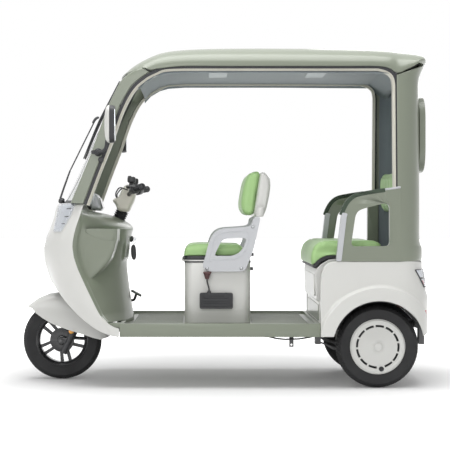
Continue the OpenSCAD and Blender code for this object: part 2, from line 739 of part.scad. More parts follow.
// A rim's barrel, inside the tyre's beads
module barrel(wall) {
    rotate_extrude($fn = 96)
        polygon([[rim_r + 1, 30.3], [rim_r + 1, 33], [rim_r - 4, 35], [rim_r - 12, 30], [rim_r - 20, 24],
            [rim_r - 20, -24], [rim_r - 12, -30], [rim_r - 4, -35], [rim_r + 1, -33], [rim_r + 1, -30.3],
            [rim_r - 3.3, -29.7], [rim_r - 3.3, -23.7], [rim_r - 20 + wall, -20], [rim_r - 20 + wall, 20],
            [rim_r - 3.3, 23.7], [rim_r - 3.3, 29.7]]);
}
hub_r = 40;
spokes = 5;
spoke_gap = 13;
module front_tyre() {
    color([0.1, 0.1, 0.1])
        wheel_at(front_axle_x, 0)
            tyre();
}
// Front wheel: twin spokes between the hub and the rim
module front_rim() {
    reach = rim_r - 18;
    color(dark)
        wheel_at(front_axle_x, 0)
            difference() {
                union() {
                    barrel(4);
                    cylinder(r = hub_r, h = 70, center = true, $fn = 64);
                    translate([0, 0, -38])
                        cylinder(r = 62, h = 22, $fn = 64);
                    for (k = [0:spokes - 1], s = [-1, 1])
                        rotate(44 + 360 / spokes * k)
                            linear_extrude(22, center = true)
                                polygon([[hub_r - 6, s * spoke_gap / 2], [reach, s * spoke_gap],
                                    [reach, s * (spoke_gap + 17)], [hub_r - 6, s * 22]]);
                }
                cylinder(r = axle_r + run, h = 100, center = true, $fn = 32);
            }
}

// Rear wheels: a disc cover with twelve arc slots, a brake drum and a hub inside
cover_r = rim_r - 4;
slots = 12;
slot_r = 103;
valve_gap = 99;
module rear_tyre(y) {
    color([0.1, 0.1, 0.1])
        wheel_at(-rear_axle_x, y)
            tyre();
}
module rear_rim(s) {
    color(white)
        translate([-rear_axle_x, s * rear_track / 2, axle_z])
            rotate([-90 * s, 0, 0])
                difference() {
                    union() {
                        barrel(4);
                        rotate_extrude($fn = 96)
                            polygon([[0, 38], [28, 38], [30, 34], [92, 30], [cover_r - 8, 26],
                                [cover_r - 4, 36], [cover_r, 36], [cover_r, 39], [cover_r - 12, 41],
                                [cover_r - 30, 37], [92, 37], [34, 42], [22, 47], [0, 48]]);
                        translate([0, 0, -44])
                            cylinder(r = 88, h = 40, $fn = 64);
                        translate([0, 0, -8])
                            cylinder(r = hub_r, h = 47, $fn = 64);
                    }
                    for (k = [0:slots - 2])
                        rotate([0, 0, valve_gap * s + 25 + 28.6 * k])
                            rotate_extrude(angle = 23.5, $fn = 96)
                                translate([slot_r - 6, 26])
                                    square([12, 20]);
                    translate([0, 0, -60])
                        cylinder(r = axle_r + run, h = 84, $fn = 32);
                    translate([0, 0, -60])
                        cylinder(r = 74, h = 50, $fn = 64);
                }
}

// The rails touch the floor's underside and rise a little over the rear axle
// Rear axle: a tube with the motor at its middle, brake plates at its ends and stub axles beyond them
floor_t = 6;
rail_z = floor_z - floor_t - rest - rail_r;
rail_rear_z = 302;
hub_in = 52;
module rear_axle() {
    tube_y = rear_track / 2 - hub_in;
    color(dark)
        translate([-rear_axle_x, 0, axle_z])
            rotate([90, 0, 0]) {
                cylinder(r = 26, h = 2 * tube_y, center = true, $fn = 48);
                cylinder(r = 78, h = 150, center = true, $fn = 64);
                translate([0, 0, 75])
                    cylinder(r = 62, h = 60, $fn = 64);
                for (s = [-1, 1]) {
                    translate([0, 0, s * (tube_y + 2) - 4])
                        cylinder(r = 72, h = 8, $fn = 64);
                    translate([0, 0, s * (tube_y + 35)])
                        cylinder(r = axle_r, h = 76, center = true, $fn = 32);
                }
            }
}

// Leaf springs under the axle, hung from eyes on the frame. The front half is the longer one
spring_y = rear_track / 2 - 128;
spring_w = 40;
spring_dip = 66;
spring_front = 284;
spring_back = 240;
eye_z = 222;
leaf_t = 7;
function leaf(x) = eye_z - spring_dip * (1 - pow(x / (x > 0 ? spring_front : spring_back), 2));
// The pack of leaves: one under the whole length, the next two each a quarter shorter
module leaf_pack() {
    n = 24;
    xs = [for (k = [0:n]) let (u = 2 * k / n - 1) u * (u > 0 ? spring_front : spring_back)];
    function leaves(k) = let (u = abs(2 * k / n - 1)) u > 0.76 ? 1 : u > 0.51 ? 2 : 3;
    side_block(0.5 - spring_w / 2, spring_w / 2 - 0.5, concat([for (x = xs) [x, leaf(x)]],
        [for (k = [n:-1:0]) [xs[k], leaf(xs[k]) - leaf_t * leaves(k)]]));
}
module spring_eyes(r, w) {
    for (x = [spring_front, -spring_back])
        translate([x, w / 2, eye_z - 3])
            rotate([90, 0, 0])
                cylinder(r = r, h = w, $fn = 32);
}
module rear_springs() {
    color(dark)
        for (s = [-1, 1])
            translate([-rear_axle_x, s * spring_y, 0]) {
                difference() {
                    union() {
                        leaf_pack();
                        spring_eyes(13, spring_w);
                    }
                    spring_eyes(6 + run, spring_w + 2);
                }
                translate([-34, -spring_w / 2, leaf(0) + rest])
                    cube([68, spring_w, axle_z - 26 - leaf(0) - 2 * rest]);
            }
}

// Brake cable along the underside, and the plate that carries it
cable_r = 4;
cable_y = 330;
plate_x = -343;
cable_route = [[-190, cable_y, 252], [-230, cable_y, 249], [-268, cable_y, 240], [-310, cable_y, 236],
    [-343, cable_y, 237], [-380, cable_y, 238], [-420, cable_y, 244], [-440, cable_y, 248], [-462, cable_y, 253]];
module brake_cable() {
    color([0.1, 0.1, 0.11])
        tube_along(cable_route, cable_r, 8);
}

// Frame: rails, cross members, the steering head with its struts, spring hangers and the cable plate
head_low = 500;
head_high = 640;
front_cross_x = 530;
cross_xs = [front_cross_x, 190, -150, -440, -984];
strut_r = 13;
bridge = [front_cross_x + 6, 50, 440];
kick_x = -560;
module chassis_frame() {
    color(dark)
        difference() {
            union() {
                for (s = [-1, 1]) {
                    bar([kick_x, s * rail_y, rail_z], [front_cross_x, s * rail_y, rail_z], rail_r);
                    bar([kick_x, s * rail_y, rail_z], [kick_x - 80, s * rail_y, rail_rear_z], rail_r);
                    bar([kick_x - 80, s * rail_y, rail_rear_z], [-1000, s * rail_y, rail_rear_z], rail_r);
                    for (x = [kick_x, kick_x - 80])
                        translate([x, s * rail_y, x == kick_x ? rail_z : rail_rear_z])
                            sphere(r = rail_r + 1, $fn = 48);
                    bar([front_cross_x, s * (rail_y - 30), rail_z], [bridge.x, s * bridge.y, bridge.z], strut_r);
                    translate([bridge.x, s * bridge.y, bridge.z])
                        sphere(r = strut_r + 1, $fn = 32);
                    for (e = [[spring_front, rail_z], [-spring_back, rail_rear_z]])
                        hanger(e.x - rear_axle_x, s, e.y);
                }
                for (x = cross_xs)
                    let (z = x > -500 ? rail_z : rail_rear_z)
                        bar([x, -rail_y - 90, z], [x, rail_y + 90, z], rail_r - 4);
                bar([bridge.x, -bridge.y, bridge.z], [bridge.x, bridge.y, bridge.z], strut_r);
                bar([bridge.x, 0, bridge.z], axis_at(560), strut_r - 1);
                on_axis(head_low)
                    cylinder(r = stem_r + 9, h = (head_high - head_low) / cos(rake), $fn = 48);
                cable_plate();
            }
            on_axis(head_low - 20)
                cylinder(r = stem_r + run, h = 260, $fn = 48);
            translate([plate_x, cable_y, hole_z])
                rotate([90, 0, 0])
                    cylinder(r = hole_r, h = 40, $fn = 32);
        }
}
// Plate under the left sill on a strap from the rail, with a hanging ear that has a hole
hole_r = 5;
hole_z = sill_z - 50;
ear_t = 6;
module cable_plate() {
    translate([plate_x - 36, cable_y - 18, sill_z - 10])
        cube([72, 30, 8]);
    translate([plate_x - 10, rail_y, sill_z - 2])
        cube([20, cable_y - rail_y + 12, rail_z - rail_r - sill_z + 8]);
    translate([plate_x - 11, cable_y - 18, hole_z - 11])
        cube([22, ear_t, sill_z - hole_z + 5]);
}
module hanger(x, s, z) {
    translate([x, s * spring_y, 0])
        for (e = [-1, 1])
            translate([-14, e * (spring_w / 2 + 3.3) - 3, eye_z - 18])
                cube([28, 6, z + 12 - eye_z]);
    bar([x, s * spring_y - 26, eye_z - 3], [x, s * spring_y + 26, eye_z - 3], 6);
    bar([x, s * rail_y, z], [x, s * (spring_y + 26), z], 10);
}

// Floor: a tray with a lip round it and sills under its edges, a tongue under the bench's front
// and a cheek at each front corner, on which the leg shield stands
tongue = 60;
cheek_front = 576;
module floor_tray() {
    y = half_w - 3;
    color(sage) {
        difference() {
            translate([0, 0, sill_z])
                linear_extrude(floor_z + lip_h - sill_z)
                    polygon(round_rect(-floor_back, -y, floor_front, y, 4));
            translate([0, 0, floor_z])
                linear_extrude(100)
                    polygon(round_rect(-floor_back + 20, -y + 20, floor_front - 20, y - 20, 20));
            translate([0, 0, sill_z - 1])
                linear_extrude(floor_z - sill_z - floor_t + 1)
                    polygon(round_rect(-floor_back - 30, -y + 8, floor_front + 30, y - 8, 6));
        }
        translate([-floor_back - tongue, -300, floor_z - floor_t])
            cube([tongue + 10, 600, floor_t]);
        for (y0 = [-half_w + 10, half_w - 90])
            translate([floor_front - 10, y0, floor_z - floor_t])
                cube([cheek_front - floor_front + 10, 80, floor_t + lip_h]);
    }
}

// Steering. The fork's stem runs in the head; its crown spans the tyre and its legs lean with the axis
crown_z = 446;
leg_back = 24;
leg_low = 150;
module fork() {
    color([0.3, 0.3, 0.32]) {
        difference() {
            union() {
                on_axis(crown_z)
                    cylinder(r = stem_r, h = (860 - crown_z) / cos(rake), $fn = 48);
                on_axis(crown_z)
                    translate([-leg_back - 20, -leg_y - leg_r, -10])
                        cube([leg_back + 44, 2 * (leg_y + leg_r), 24]);
                for (s = [-1, 1]) {
                    on_axis(crown_z)
                        translate([-leg_back, s * leg_y, -(crown_z - leg_low) / cos(rake)])
                            cylinder(r = leg_r, h = (crown_z - leg_low) / cos(rake), $fn = 32);
                    translate([front_axle_x - 46, s * leg_y - 9, axle_z - 14])
                        cube([62, 18, 28]);
                }
            }
        }
        translate([front_axle_x, leg_y + 18, axle_z])
            rotate([90, 0, 0])
                cylinder(r = axle_r, h = 2 * (leg_y + 18), $fn = 32);
    }
}

// Cover round the handlebar's middle
module column_cover() {
    color(cream)
        difference() {
            side_block(-70, 70, [[488, 872], [476, 904], [462, 930], [448, 990], [470, 1014], [502, 1020],
                [524, 996], [541, 950], [570, 944], [574, 930], [556, 912], [546, 880]]);
            on_axis(830)
                cylinder(r = stem_r + rest, h = 130, $fn = 48);
        }
}

// Handlebar with its grips, controls and levers
bar_z = 965;
module handlebar() {
    color(dark)
        for (s = [-1, 1]) {
            bar([488, s * 74.5, bar_z], [455, s * 190, bar_z + 26], 12);
            bar([455, s * 190, bar_z + 26], [398, s * bar_y, bar_z + 36], 17);
            bar([476, s * 120, bar_z + 12], [440, s * 224, bar_z + 28], 24);
            bar([486, s * 150, bar_z + 8], [446, s * (bar_y - 20), bar_z + 14], 6);
        }
}

// Front mudguard. Rows front to back: angle on the crown, and the skirt's lower edge from the axle
guard_rows = [[46, 148, 172], [60, 128, 145], [75, 92, 118], [90, 48, 92], [105, 5, 74], [120, -35, 60],
    [135, -80, 46], [150, -125, 32], [163, -165, 18], [175, -205, 8]];
guard_cols = [[-1, 1], [-1, 0.6], [-0.94, 0.3], [-0.8, 0.11], [-0.5, 0.025], [0, 0], [0.5, 0.025],
    [0.8, 0.11], [0.94, 0.3], [1, 0.6], [1, 1]];
guard_grid = [for (r = guard_rows) [for (c = guard_cols)
    let (top = guard_r * [cos(r[0]), sin(r[0])], p = lerp(top, [r[1], r[2]], c[1]))
        [front_axle_x + p.x, guard_y * c[0], axle_z + p.y]]];
module front_guard() {
    color(white)
        difference() {
            sheet(flip(guard_grid), 3);
            for (s = [-1, 1])
                on_axis(crown_z)
                    translate([-leg_back, s * leg_y, -160])
                        cylinder(r = leg_r + rest, h = 200, $fn = 32);
        }
}

chassis_frame();
floor_tray();
nose_shell();
leg_shield();
wheel_well();
headlamps();
windscreen();
pillars();
roof_panel();
roof_liner();
rear_wall();
rear_window();
opening_trims();
rear_sides();
tail_panel();
arch_liners();
tail_lamps();
bench_base();
bench_backrest();
armrests();
armrest_pads();
seat_box();
battery();
seat_frames();
backrest_pad();
backrest_shell();
side_case();
case_lead();
dash_pod();
ignition();
brake_pedal();
mirrors();
wiper();
rear_axle();
rear_springs();
brake_cable();
driver_cushion();
cushion_base();
bench_cushion();
bench_cushion_base();
fork();
column_cover();
handlebar();
front_guard();
front_tyre();
front_rim();
rear_tyre(rear_track / 2);  // rear_tyre_left
rear_rim(1);  // rear_rim_left
rear_tyre(-rear_track / 2);  // rear_tyre_right
rear_rim(-1);  // rear_rim_right
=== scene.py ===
import math

import bmesh
import bpy
import numpy as np
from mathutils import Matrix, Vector
from mathutils.geometry import tessellate_polygon


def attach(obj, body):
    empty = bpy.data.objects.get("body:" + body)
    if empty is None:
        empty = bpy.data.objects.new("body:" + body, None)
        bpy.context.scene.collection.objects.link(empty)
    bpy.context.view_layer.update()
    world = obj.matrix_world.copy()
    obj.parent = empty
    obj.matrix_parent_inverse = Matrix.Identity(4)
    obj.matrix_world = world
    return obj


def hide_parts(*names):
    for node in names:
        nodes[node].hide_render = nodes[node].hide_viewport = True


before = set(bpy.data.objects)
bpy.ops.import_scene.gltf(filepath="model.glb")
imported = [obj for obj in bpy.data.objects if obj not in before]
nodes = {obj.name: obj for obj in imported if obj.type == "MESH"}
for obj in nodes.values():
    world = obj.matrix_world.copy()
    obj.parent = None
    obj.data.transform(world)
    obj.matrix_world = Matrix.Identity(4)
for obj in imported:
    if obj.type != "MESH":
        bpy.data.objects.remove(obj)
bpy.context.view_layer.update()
print("frame loaded:", len(nodes), "nodes")

# Sizes that several pieces share, in millimetres, as the part's source has them
cab = {
    "frontAxle": 838, "rearAxle": -766, "tyre": 205, "track": 360,
    "halfWidth": 450, "lean": 42, "waist": 700, "crown": 1716,
    "wallX": -858, "wallDepth": 138, "archRadius": 231, "flare": 24,
    "steerX": 526, "steerZ": 875, "rake": 24,
}


# Finishes: colours are linear shares of red, green and blue

palette = {
    "sage": (0.222, 0.247, 0.190), "white": (0.70, 0.70, 0.672), "cream": (0.64, 0.62, 0.54),
    "green": (0.395, 0.62, 0.262), "silver": (0.50, 0.51, 0.53), "liner": (0.21, 0.245, 0.265),
    "plastic": (0.022, 0.023, 0.026), "metal": (0.03, 0.03, 0.033), "grey": (0.30, 0.31, 0.32),
    "tyre": (0.016, 0.016, 0.017), "rubber": (0.035, 0.055, 0.034), "plug": (0.11, 0.05, 0.05),
}


def newMaterial(name):
    made = bpy.data.materials.new(name)
    made.use_nodes = True
    tree = made.node_tree
    tree.nodes.clear()
    out = tree.nodes.new("ShaderNodeOutputMaterial")
    shader = tree.nodes.new("ShaderNodeBsdfPrincipled")
    tree.links.new(shader.outputs[0], out.inputs[0])
    place = tree.nodes.new("ShaderNodeTexCoord").outputs["Object"]
    return made, tree, shader, place


def noise(tree, place, size, detail=3.0, rough=0.5):
    # Noise whose blobs measure about size metres
    made = tree.nodes.new("ShaderNodeTexNoise")
    made.inputs["Scale"].default_value = 1.0 / size
    made.inputs["Detail"].default_value = detail
    made.inputs["Roughness"].default_value = rough
    tree.links.new(place, made.inputs["Vector"])
    return made.outputs["Fac"]


def remap(tree, value, low, high, toLow, toHigh):
    made = tree.nodes.new("ShaderNodeMapRange")
    made.inputs["From Min"].default_value = low
    made.inputs["From Max"].default_value = high
    made.inputs["To Min"].default_value = toLow
    made.inputs["To Max"].default_value = toHigh
    tree.links.new(value, made.inputs["Value"])
    return made.outputs["Result"]


def blendColours(tree, factor, first, second):
    made = tree.nodes.new("ShaderNodeMix")
    made.data_type = "RGBA"
    tree.links.new(factor, made.inputs["Factor"])
    for socket, value in ((made.inputs[6], first), (made.inputs[7], second)):
        if isinstance(value, tuple):
            socket.default_value = (*value, 1)
        else:
            tree.links.new(value, socket)
    return made.outputs[2]


def surface(name, colour, roughness, metallic=0.0, coat=0.0, drift=0.05, edgeHighlight=0.0,
            grainSize=0.0012, grainDepth=0.00004, roughDrift=0.06, sheen=0.0):
    # Colour drifts slowly by a share of itself, roughness by patches, and a fine grain bumps the surface.
    # Painted highlight: the sharpest edges are lightened where the Pointiness input rises
    made, tree, shader, place = newMaterial(name)
    low = tuple(c * (1 - drift) for c in colour)
    high = tuple(min(1, c * (1 + drift)) for c in colour)
    tint = blendColours(tree, remap(tree, noise(tree, place, 0.35), 0.3, 0.7, 0, 1), low, high)
    if edgeHighlight:
        # Painted highlight: a paler tint mixed in on the sharpest edges
        shape = tree.nodes.new("ShaderNodeNewGeometry").outputs["Pointiness"]
        highlightTint = tuple(min(1, c + 0.22) for c in colour)
        tint = blendColours(tree, remap(tree, shape, 0.53, 0.60, 0, edgeHighlight), tint, highlightTint)
    tree.links.new(tint, shader.inputs["Base Color"])
    patches = noise(tree, place, 0.09, 4)
    tree.links.new(remap(tree, patches, 0.3, 0.7, max(0.02, roughness - roughDrift), roughness + roughDrift),
                   shader.inputs["Roughness"])
    shader.inputs["Metallic"].default_value = metallic
    shader.inputs["Coat Weight"].default_value = coat
    shader.inputs["Coat Roughness"].default_value = 0.12
    shader.inputs["Sheen Weight"].default_value = sheen
    bump = tree.nodes.new("ShaderNodeBump")
    bump.inputs["Strength"].default_value = 1.0
    bump.inputs["Distance"].default_value = grainDepth
    tree.links.new(noise(tree, place, grainSize, 2), bump.inputs["Height"])
    tree.links.new(bump.outputs[0], shader.inputs["Normal"])
    return made


def clearPlastic(name, tint, roughness=0.02, ior=1.46):
    # A thin clear sheet: light passes it with a faint tint, and dust roughens it in patches
    made, tree, shader, place = newMaterial(name)
    shader.inputs["Base Color"].default_value = (*tint, 1)
    shader.inputs["Transmission Weight"].default_value = 1.0
    shader.inputs["IOR"].default_value = ior
    patches = noise(tree, place, 0.12, 4)
    tree.links.new(remap(tree, patches, 0.4, 0.75, roughness, roughness + 0.012), shader.inputs["Roughness"])
    return made


# The edge share given to dark finishes lightens their sharpest edges as a painted highlight
finishes = {
    "sage": surface("sagePaint", palette["sage"], 0.36, coat=0.3, drift=0.015, roughDrift=0.02,
                    grainSize=0.003, grainDepth=0.000006),
    "white": surface("whitePaint", palette["white"], 0.32, coat=0.25, drift=0.006, roughDrift=0.015,
                     grainSize=0.003, grainDepth=0.000004),
    "cream": surface("creamPlastic", palette["cream"], 0.42, drift=0.04),
    "seat_green": surface("seatVinyl", palette["green"], 0.46, drift=0.05, grainSize=0.0016,
                          grainDepth=0.00012, sheen=0.15),
    "silver": surface("silverPaint", palette["silver"], 0.36, metallic=0.3, coat=0.2, drift=0.03,
                      grainSize=0.0006, grainDepth=0.00001),
    "liner": surface("ceilingLiner", palette["liner"], 0.78, drift=0.08, grainSize=0.0014, grainDepth=0.0002,
                     sheen=0.3),
    "black_plastic": surface("blackPlastic", palette["plastic"], 0.48, grainSize=0.0011, grainDepth=0.0001,
                             edgeHighlight=0.15),
    "black_metal": surface("blackMetal", palette["metal"], 0.40, coat=0.2, grainSize=0.002,
                           grainDepth=0.00004, edgeHighlight=0.3),
    "alloy_black": surface("alloyBlack", (0.02, 0.02, 0.022), 0.27, metallic=0.4, coat=0.5, edgeHighlight=0.2),
    "grey_metal": surface("greyMetal", palette["grey"], 0.33, metallic=0.85, edgeHighlight=0.3, grainSize=0.0008),
    "tyre": surface("tyreRubber", palette["tyre"], 0.72, drift=0.12, grainSize=0.0018, grainDepth=0.0001),
    "rubber": surface("stripRubber", palette["rubber"], 0.62, grainSize=0.0014, grainDepth=0.00012),
    "cable": surface("cableSheath", (0.018, 0.018, 0.02), 0.5, grainSize=0.001),
    "glass": clearPlastic("windowGlass", (0.94, 0.97, 0.96), 0.0),
    "lamp": clearPlastic("lampCover", (0.97, 0.98, 1.0), 0.015, 1.49),
}
extraFinishes = {
    "steel": surface("boltSteel", (0.55, 0.56, 0.58), 0.28, metallic=1.0, edgeHighlight=0.2),
    "tray": surface("lampTray", (0.60, 0.62, 0.64), 0.3, metallic=0.35, coat=0.3, drift=0.02,
                    grainDepth=0.00001),
    "mirror": surface("mirrorGlass", (0.72, 0.75, 0.78), 0.03, metallic=1.0, drift=0.0, roughDrift=0.01,
                      grainDepth=0.0),
    "red": surface("redLens", (0.46, 0.012, 0.012), 0.12, coat=0.8, drift=0.08, grainSize=0.003,
                   grainDepth=0.0003),
    "amber": surface("amberLens", (0.80, 0.34, 0.02), 0.14, coat=0.8, drift=0.08, grainSize=0.003,
                     grainDepth=0.0003),
    "plug": surface("plugBrown", palette["plug"], 0.5),
    "screen": surface("displayBlack", (0.006, 0.007, 0.009), 0.08, coat=0.8, grainDepth=0.0),
    "panelLamp": surface("ceilingLamp", (0.42, 0.46, 0.48), 0.5, drift=0.02),
}
print("finishes made:", len(finishes) + len(extraFinishes))


# Tools: arrays of points in millimetres, made into meshes in metres

def lerp(a, b, t):
    return a + (b - a) * t


def signedPower(v, e):
    # The power of a number's size, with its own sign
    return np.sign(v) * np.abs(v) ** e


def smoothStep(v, low, high):
    # 0 below low, 1 above high, and an S curve between
    t = np.clip((v - low) / (high - low), 0, 1)
    return t * t * (3 - 2 * t)


def through(table, count):
    # A cubic curve through the table's rows: each span blends its two rows and the rows beside them
    table = np.asarray(table, float)
    last = len(table) - 1
    t = np.linspace(0, last, count)
    i = np.clip(t.astype(int), 0, last - 1)
    f = (t - i).reshape(-1, *([1] * (table.ndim - 1)))
    a, b = table[np.maximum(i - 1, 0)], table[i]
    c, d = table[i + 1], table[np.minimum(i + 2, last)]
    return 0.5 * (2 * b + (c - a) * f + (2 * a - 5 * b + 4 * c - d) * f**2 + (3 * b - a - 3 * c + d) * f**3)


def evenly(curve, low, high, count):
    # Parameters whose points on the curve stand at equal distances: the length is summed, then inverted
    t = np.linspace(low, high, 4001)
    p = curve(t)
    along = np.concatenate([[0], np.cumsum(np.linalg.norm(np.diff(p, axis=0), axis=1))])
    return np.interp(np.linspace(0, along[-1], count), along, t)


def spacedPath(points, step):
    # A smooth curve through the points, then points along it at about one step from each other
    fine = through(points, len(points) * 40)
    along = np.concatenate([[0], np.cumsum(np.linalg.norm(np.diff(fine, axis=0), axis=1))])
    count = max(3, int(along[-1] / step) + 1)
    at = np.linspace(0, along[-1], count)
    return np.stack([np.interp(at, along, fine[:, k]) for k in range(fine.shape[1])], 1)


def unitRows(v):
    return v / np.maximum(np.linalg.norm(v, axis=-1, keepdims=True), 1e-9)


def gridNormals(g):
    # Outward direction at each point: the cross product of the steps along the rows and along the columns
    return unitRows(np.cross(np.gradient(g, axis=0), np.gradient(g, axis=1)))


def facing(g, direction):
    # The grid with its outer side towards a direction: its columns are reversed where its normals point away
    return g if (gridNormals(g) * np.asarray(direction, float)).sum(-1).mean() > 0 else g[:, ::-1]


def gridFaces(n, m, first=0, turned=False):
    i, j = np.meshgrid(np.arange(n - 1), np.arange(m - 1), indexing="ij")
    a = first + i * m + j
    quads = np.stack([a, a + m, a + m + 1, a + 1], -1).reshape(-1, 4)
    return quads[:, ::-1] if turned else quads


def addMesh(name, points, faces, finish, body="chassis", smooth=True, bevel=0.0, segments=2, angle=32,
            stands=()):
    mesh = bpy.data.meshes.new(name)
    mesh.from_pydata((np.asarray(points, float) / 1000).tolist(), [], [list(map(int, f)) for f in faces])
    mesh.validate()
    mesh.polygons.foreach_set("use_smooth", np.full(len(mesh.polygons), smooth))
    obj = bpy.data.objects.new(name, mesh)
    bpy.context.scene.collection.objects.link(obj)
    mesh.materials.append(finishes.get(finish) or extraFinishes[finish])
    if bevel:
        roundEdges(obj, bevel, segments, angle)
    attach(obj, body)
    if stands:
        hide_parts(*stands)
    return obj


def roundEdges(obj, width, segments=2, angle=32):
    made = obj.modifiers.new("edges", "BEVEL")
    made.width = width / 1000
    made.segments = segments
    made.limit_method = "ANGLE"
    made.angle_limit = math.radians(angle)
    made.harden_normals = True
    made.miter_outer = "MITER_ARC"


def shell(name, grid, thickness, finish, body="chassis", rimSteps=5, stands=()):
    # A sheet whose outer side is the grid. Its inner side lies one thickness within,
    # and a half round of that thickness joins the two along the border
    g = np.array(grid, float)
    n, m = g.shape[:2]
    normals = gridNormals(g)
    ring = [(0, j) for j in range(m)] + [(i, m - 1) for i in range(1, n)]
    ring += [(n - 1, j) for j in range(m - 2, -1, -1)] + [(i, 0) for i in range(n - 2, 0, -1)]
    ri, rj = np.array(ring).T
    di, dj = np.gradient(g, axis=0), np.gradient(g, axis=1)
    away = unitRows(di[ri, rj]) * np.select([ri == 0, ri == n - 1], [-1, 1], 0)[:, None]
    away = away + unitRows(dj[ri, rj]) * np.select([rj == 0, rj == m - 1], [-1, 1], 0)[:, None]
    up = normals[ri, rj]
    away = unitRows(away - up * (away * up).sum(1, keepdims=True))
    half = thickness / 2
    g[ri, rj] -= half * away
    inner = g - thickness * normals
    centre = g[ri, rj] - half * up
    turns = np.pi * np.arange(1, rimSteps) / rimSteps
    rim = [centre + half * (math.cos(t) * up + math.sin(t) * away) for t in turns]
    k, r = n * m, len(ring)
    loops = [ri * m + rj] + [2 * k + s * r + np.arange(r) for s in range(rimSteps - 1)] + [k + ri * m + rj]
    faces = [gridFaces(n, m), gridFaces(n, m, k, True)]
    for a, b in zip(loops, loops[1:]):
        faces.append(np.stack([a, np.roll(a, -1), np.roll(b, -1), b], 1))
    points = np.concatenate([g.reshape(-1, 3), inner.reshape(-1, 3), *rim])
    return addMesh(name, points, np.concatenate(faces), finish, body, stands=stands)


def ringBody(name, rings, finish, body="chassis", bevel=0.0, closed=False, stands=(), angle=32, segments=2,
             smooth=True):
    # A solid carried through rings of equal length. The ends are flat, or join each other when closed
    rings = np.asarray(rings, float)
    n, m = rings.shape[:2]
    i, j = np.meshgrid(np.arange(n if closed else n - 1), np.arange(m), indexing="ij")
    a, b = i * m + j, i * m + (j + 1) % m
    c, d = ((i + 1) % n) * m + (j + 1) % m, ((i + 1) % n) * m + j
    faces = np.stack([a, d, c, b], -1).reshape(-1, 4).tolist()
    if not closed:
        faces += [list(range(m)), list(range((n - 1) * m, n * m))[::-1]]
    made = addMesh(name, rings.reshape(-1, 3), faces, finish, body, smooth, bevel, segments, angle, stands)
    outward(made)
    return made


def outward(obj):
    # Turns every face of a closed mesh to its outer side
    work = bmesh.new()
    work.from_mesh(obj.data)
    bmesh.ops.remove_doubles(work, verts=work.verts, dist=1e-6)
    bmesh.ops.recalc_face_normals(work, faces=work.faces)
    work.to_mesh(obj.data)
    work.free()


def tube(name, points, radius, finish, body="chassis", sides=20, step=8, roundEnds=True, flat=1.0):
    # A round section carried along a smooth path. Its frame is passed on from point to point without twist,
    # and the radius may be one number or one for each point given
    path = spacedPath(points, step) if len(points) > 2 else np.linspace(points[0], points[1], max(3, int(
        np.linalg.norm(np.subtract(points[1], points[0])) / step)))
    path = np.asarray(path, float)
    steer = unitRows(np.gradient(path, axis=0))
    side = np.cross(steer[0], [0, 0, 1])
    if np.linalg.norm(side) < 0.1:
        side = np.cross(steer[0], [0, 1, 0])
    sidesOut = []
    for d in steer:
        side = side - d * side.dot(d)
        side = side / np.linalg.norm(side)
        sidesOut.append(side)
    sidesOut = np.array(sidesOut)
    other = np.cross(steer, sidesOut)
    radii = np.interp(np.linspace(0, 1, len(path)), np.linspace(0, 1, np.size(radius)), np.atleast_1d(radius))
    turn = 2 * np.pi * np.arange(sides) / sides
    cosine, sine = np.cos(turn)[None, :, None], np.sin(turn)[None, :, None]
    circle = cosine * sidesOut[:, None] + flat * sine * other[:, None]
    rings = path[:, None] + radii[:, None, None] * circle
    if roundEnds:
        lift = [0.35, 0.7, 0.93]
        ends = []
        for k, sign in ((0, -1), (-1, 1)):
            ends.append([path[k] + circle[k] * radii[k] * math.sqrt(1 - v * v) + sign * steer[k] * radii[k]
                         * (v - 1)
                         for v in lift])
        rings = np.concatenate([np.array(ends[0])[::-1], rings[1:-1] if len(rings) > 2 else rings,
                                np.array(ends[1])])
    return ringBody(name, rings, finish, body, bevel=0)


def turned(name, profile, centre, axis, finish, body="chassis", steps=96, stands=(), part=None):
    # A profile of radius and distance along the axis, turned about it. Closed profiles make a solid ring
    profile = np.asarray(profile, float)
    axis = unitRows(np.asarray(axis, float))
    first = unitRows(np.cross(axis, [0, 0, 1] if abs(axis[2]) < 0.9 else [1, 0, 0]))
    second = np.cross(axis, first)
    a0, a1 = part or (0, 2 * np.pi)
    whole = part is None
    turn = np.linspace(a0, a1, steps, endpoint=not whole)
    out = np.cos(turn)[:, None] * first + np.sin(turn)[:, None] * second
    centre = np.asarray(centre, float)
    rings = centre + profile[None, :, 0, None] * out[:, None] + profile[None, :, 1, None] * axis
    return ringBody(name, rings, finish, body, closed=whole, stands=stands)


def softOutline(points, radius, steps=5):
    # Each corner of an outline in a plane is rounded by a quadratic curve that starts one radius before it
    p = np.asarray(points, float)
    made = []
    for k in range(len(p)):
        here, before, after = p[k], p[k - 1], p[(k + 1) % len(p)]
        r = radius[k] if np.size(radius) > 1 else radius
        a = here + (before - here) * min(0.48, r / max(1e-6, np.linalg.norm(before - here)))
        b = here + (after - here) * min(0.48, r / max(1e-6, np.linalg.norm(after - here)))
        t = np.linspace(0, 1, steps)[:, None]
        made.append((1 - t)**2 * a + 2 * t * (1 - t) * here + t**2 * b)
    return np.concatenate(made)


def slab(name, outline, low, high, finish, body="chassis", axis=1, windows=(), bevel=2.0, segments=3,
         stands=(), smooth=True):
    # An outline in a plane, with windows, carried from low to high along one axis, its edges rounded
    loops = [np.asarray(outline, float)] + [np.asarray(w, float) for w in windows]
    flat = [[Vector((x, y, 0)) for x, y in loop] for loop in loops]
    triangles = tessellate_polygon(flat)
    every = np.concatenate(loops)
    k = len(every)
    points = []
    for level in (low, high):
        p = np.insert(every, axis, level, axis=1)
        points.append(p)
    faces = [list(t) for t in triangles] + [[v + k for v in t][::-1] for t in triangles]
    start = 0
    for loop in loops:
        m = len(loop)
        for j in range(m):
            a, b = start + j, start + (j + 1) % m
            faces.append([a, b, b + k, a + k])
        start += m
    made = addMesh(name, np.concatenate(points), faces, finish, body, smooth, bevel, segments, 40, stands)
    outward(made)
    return made


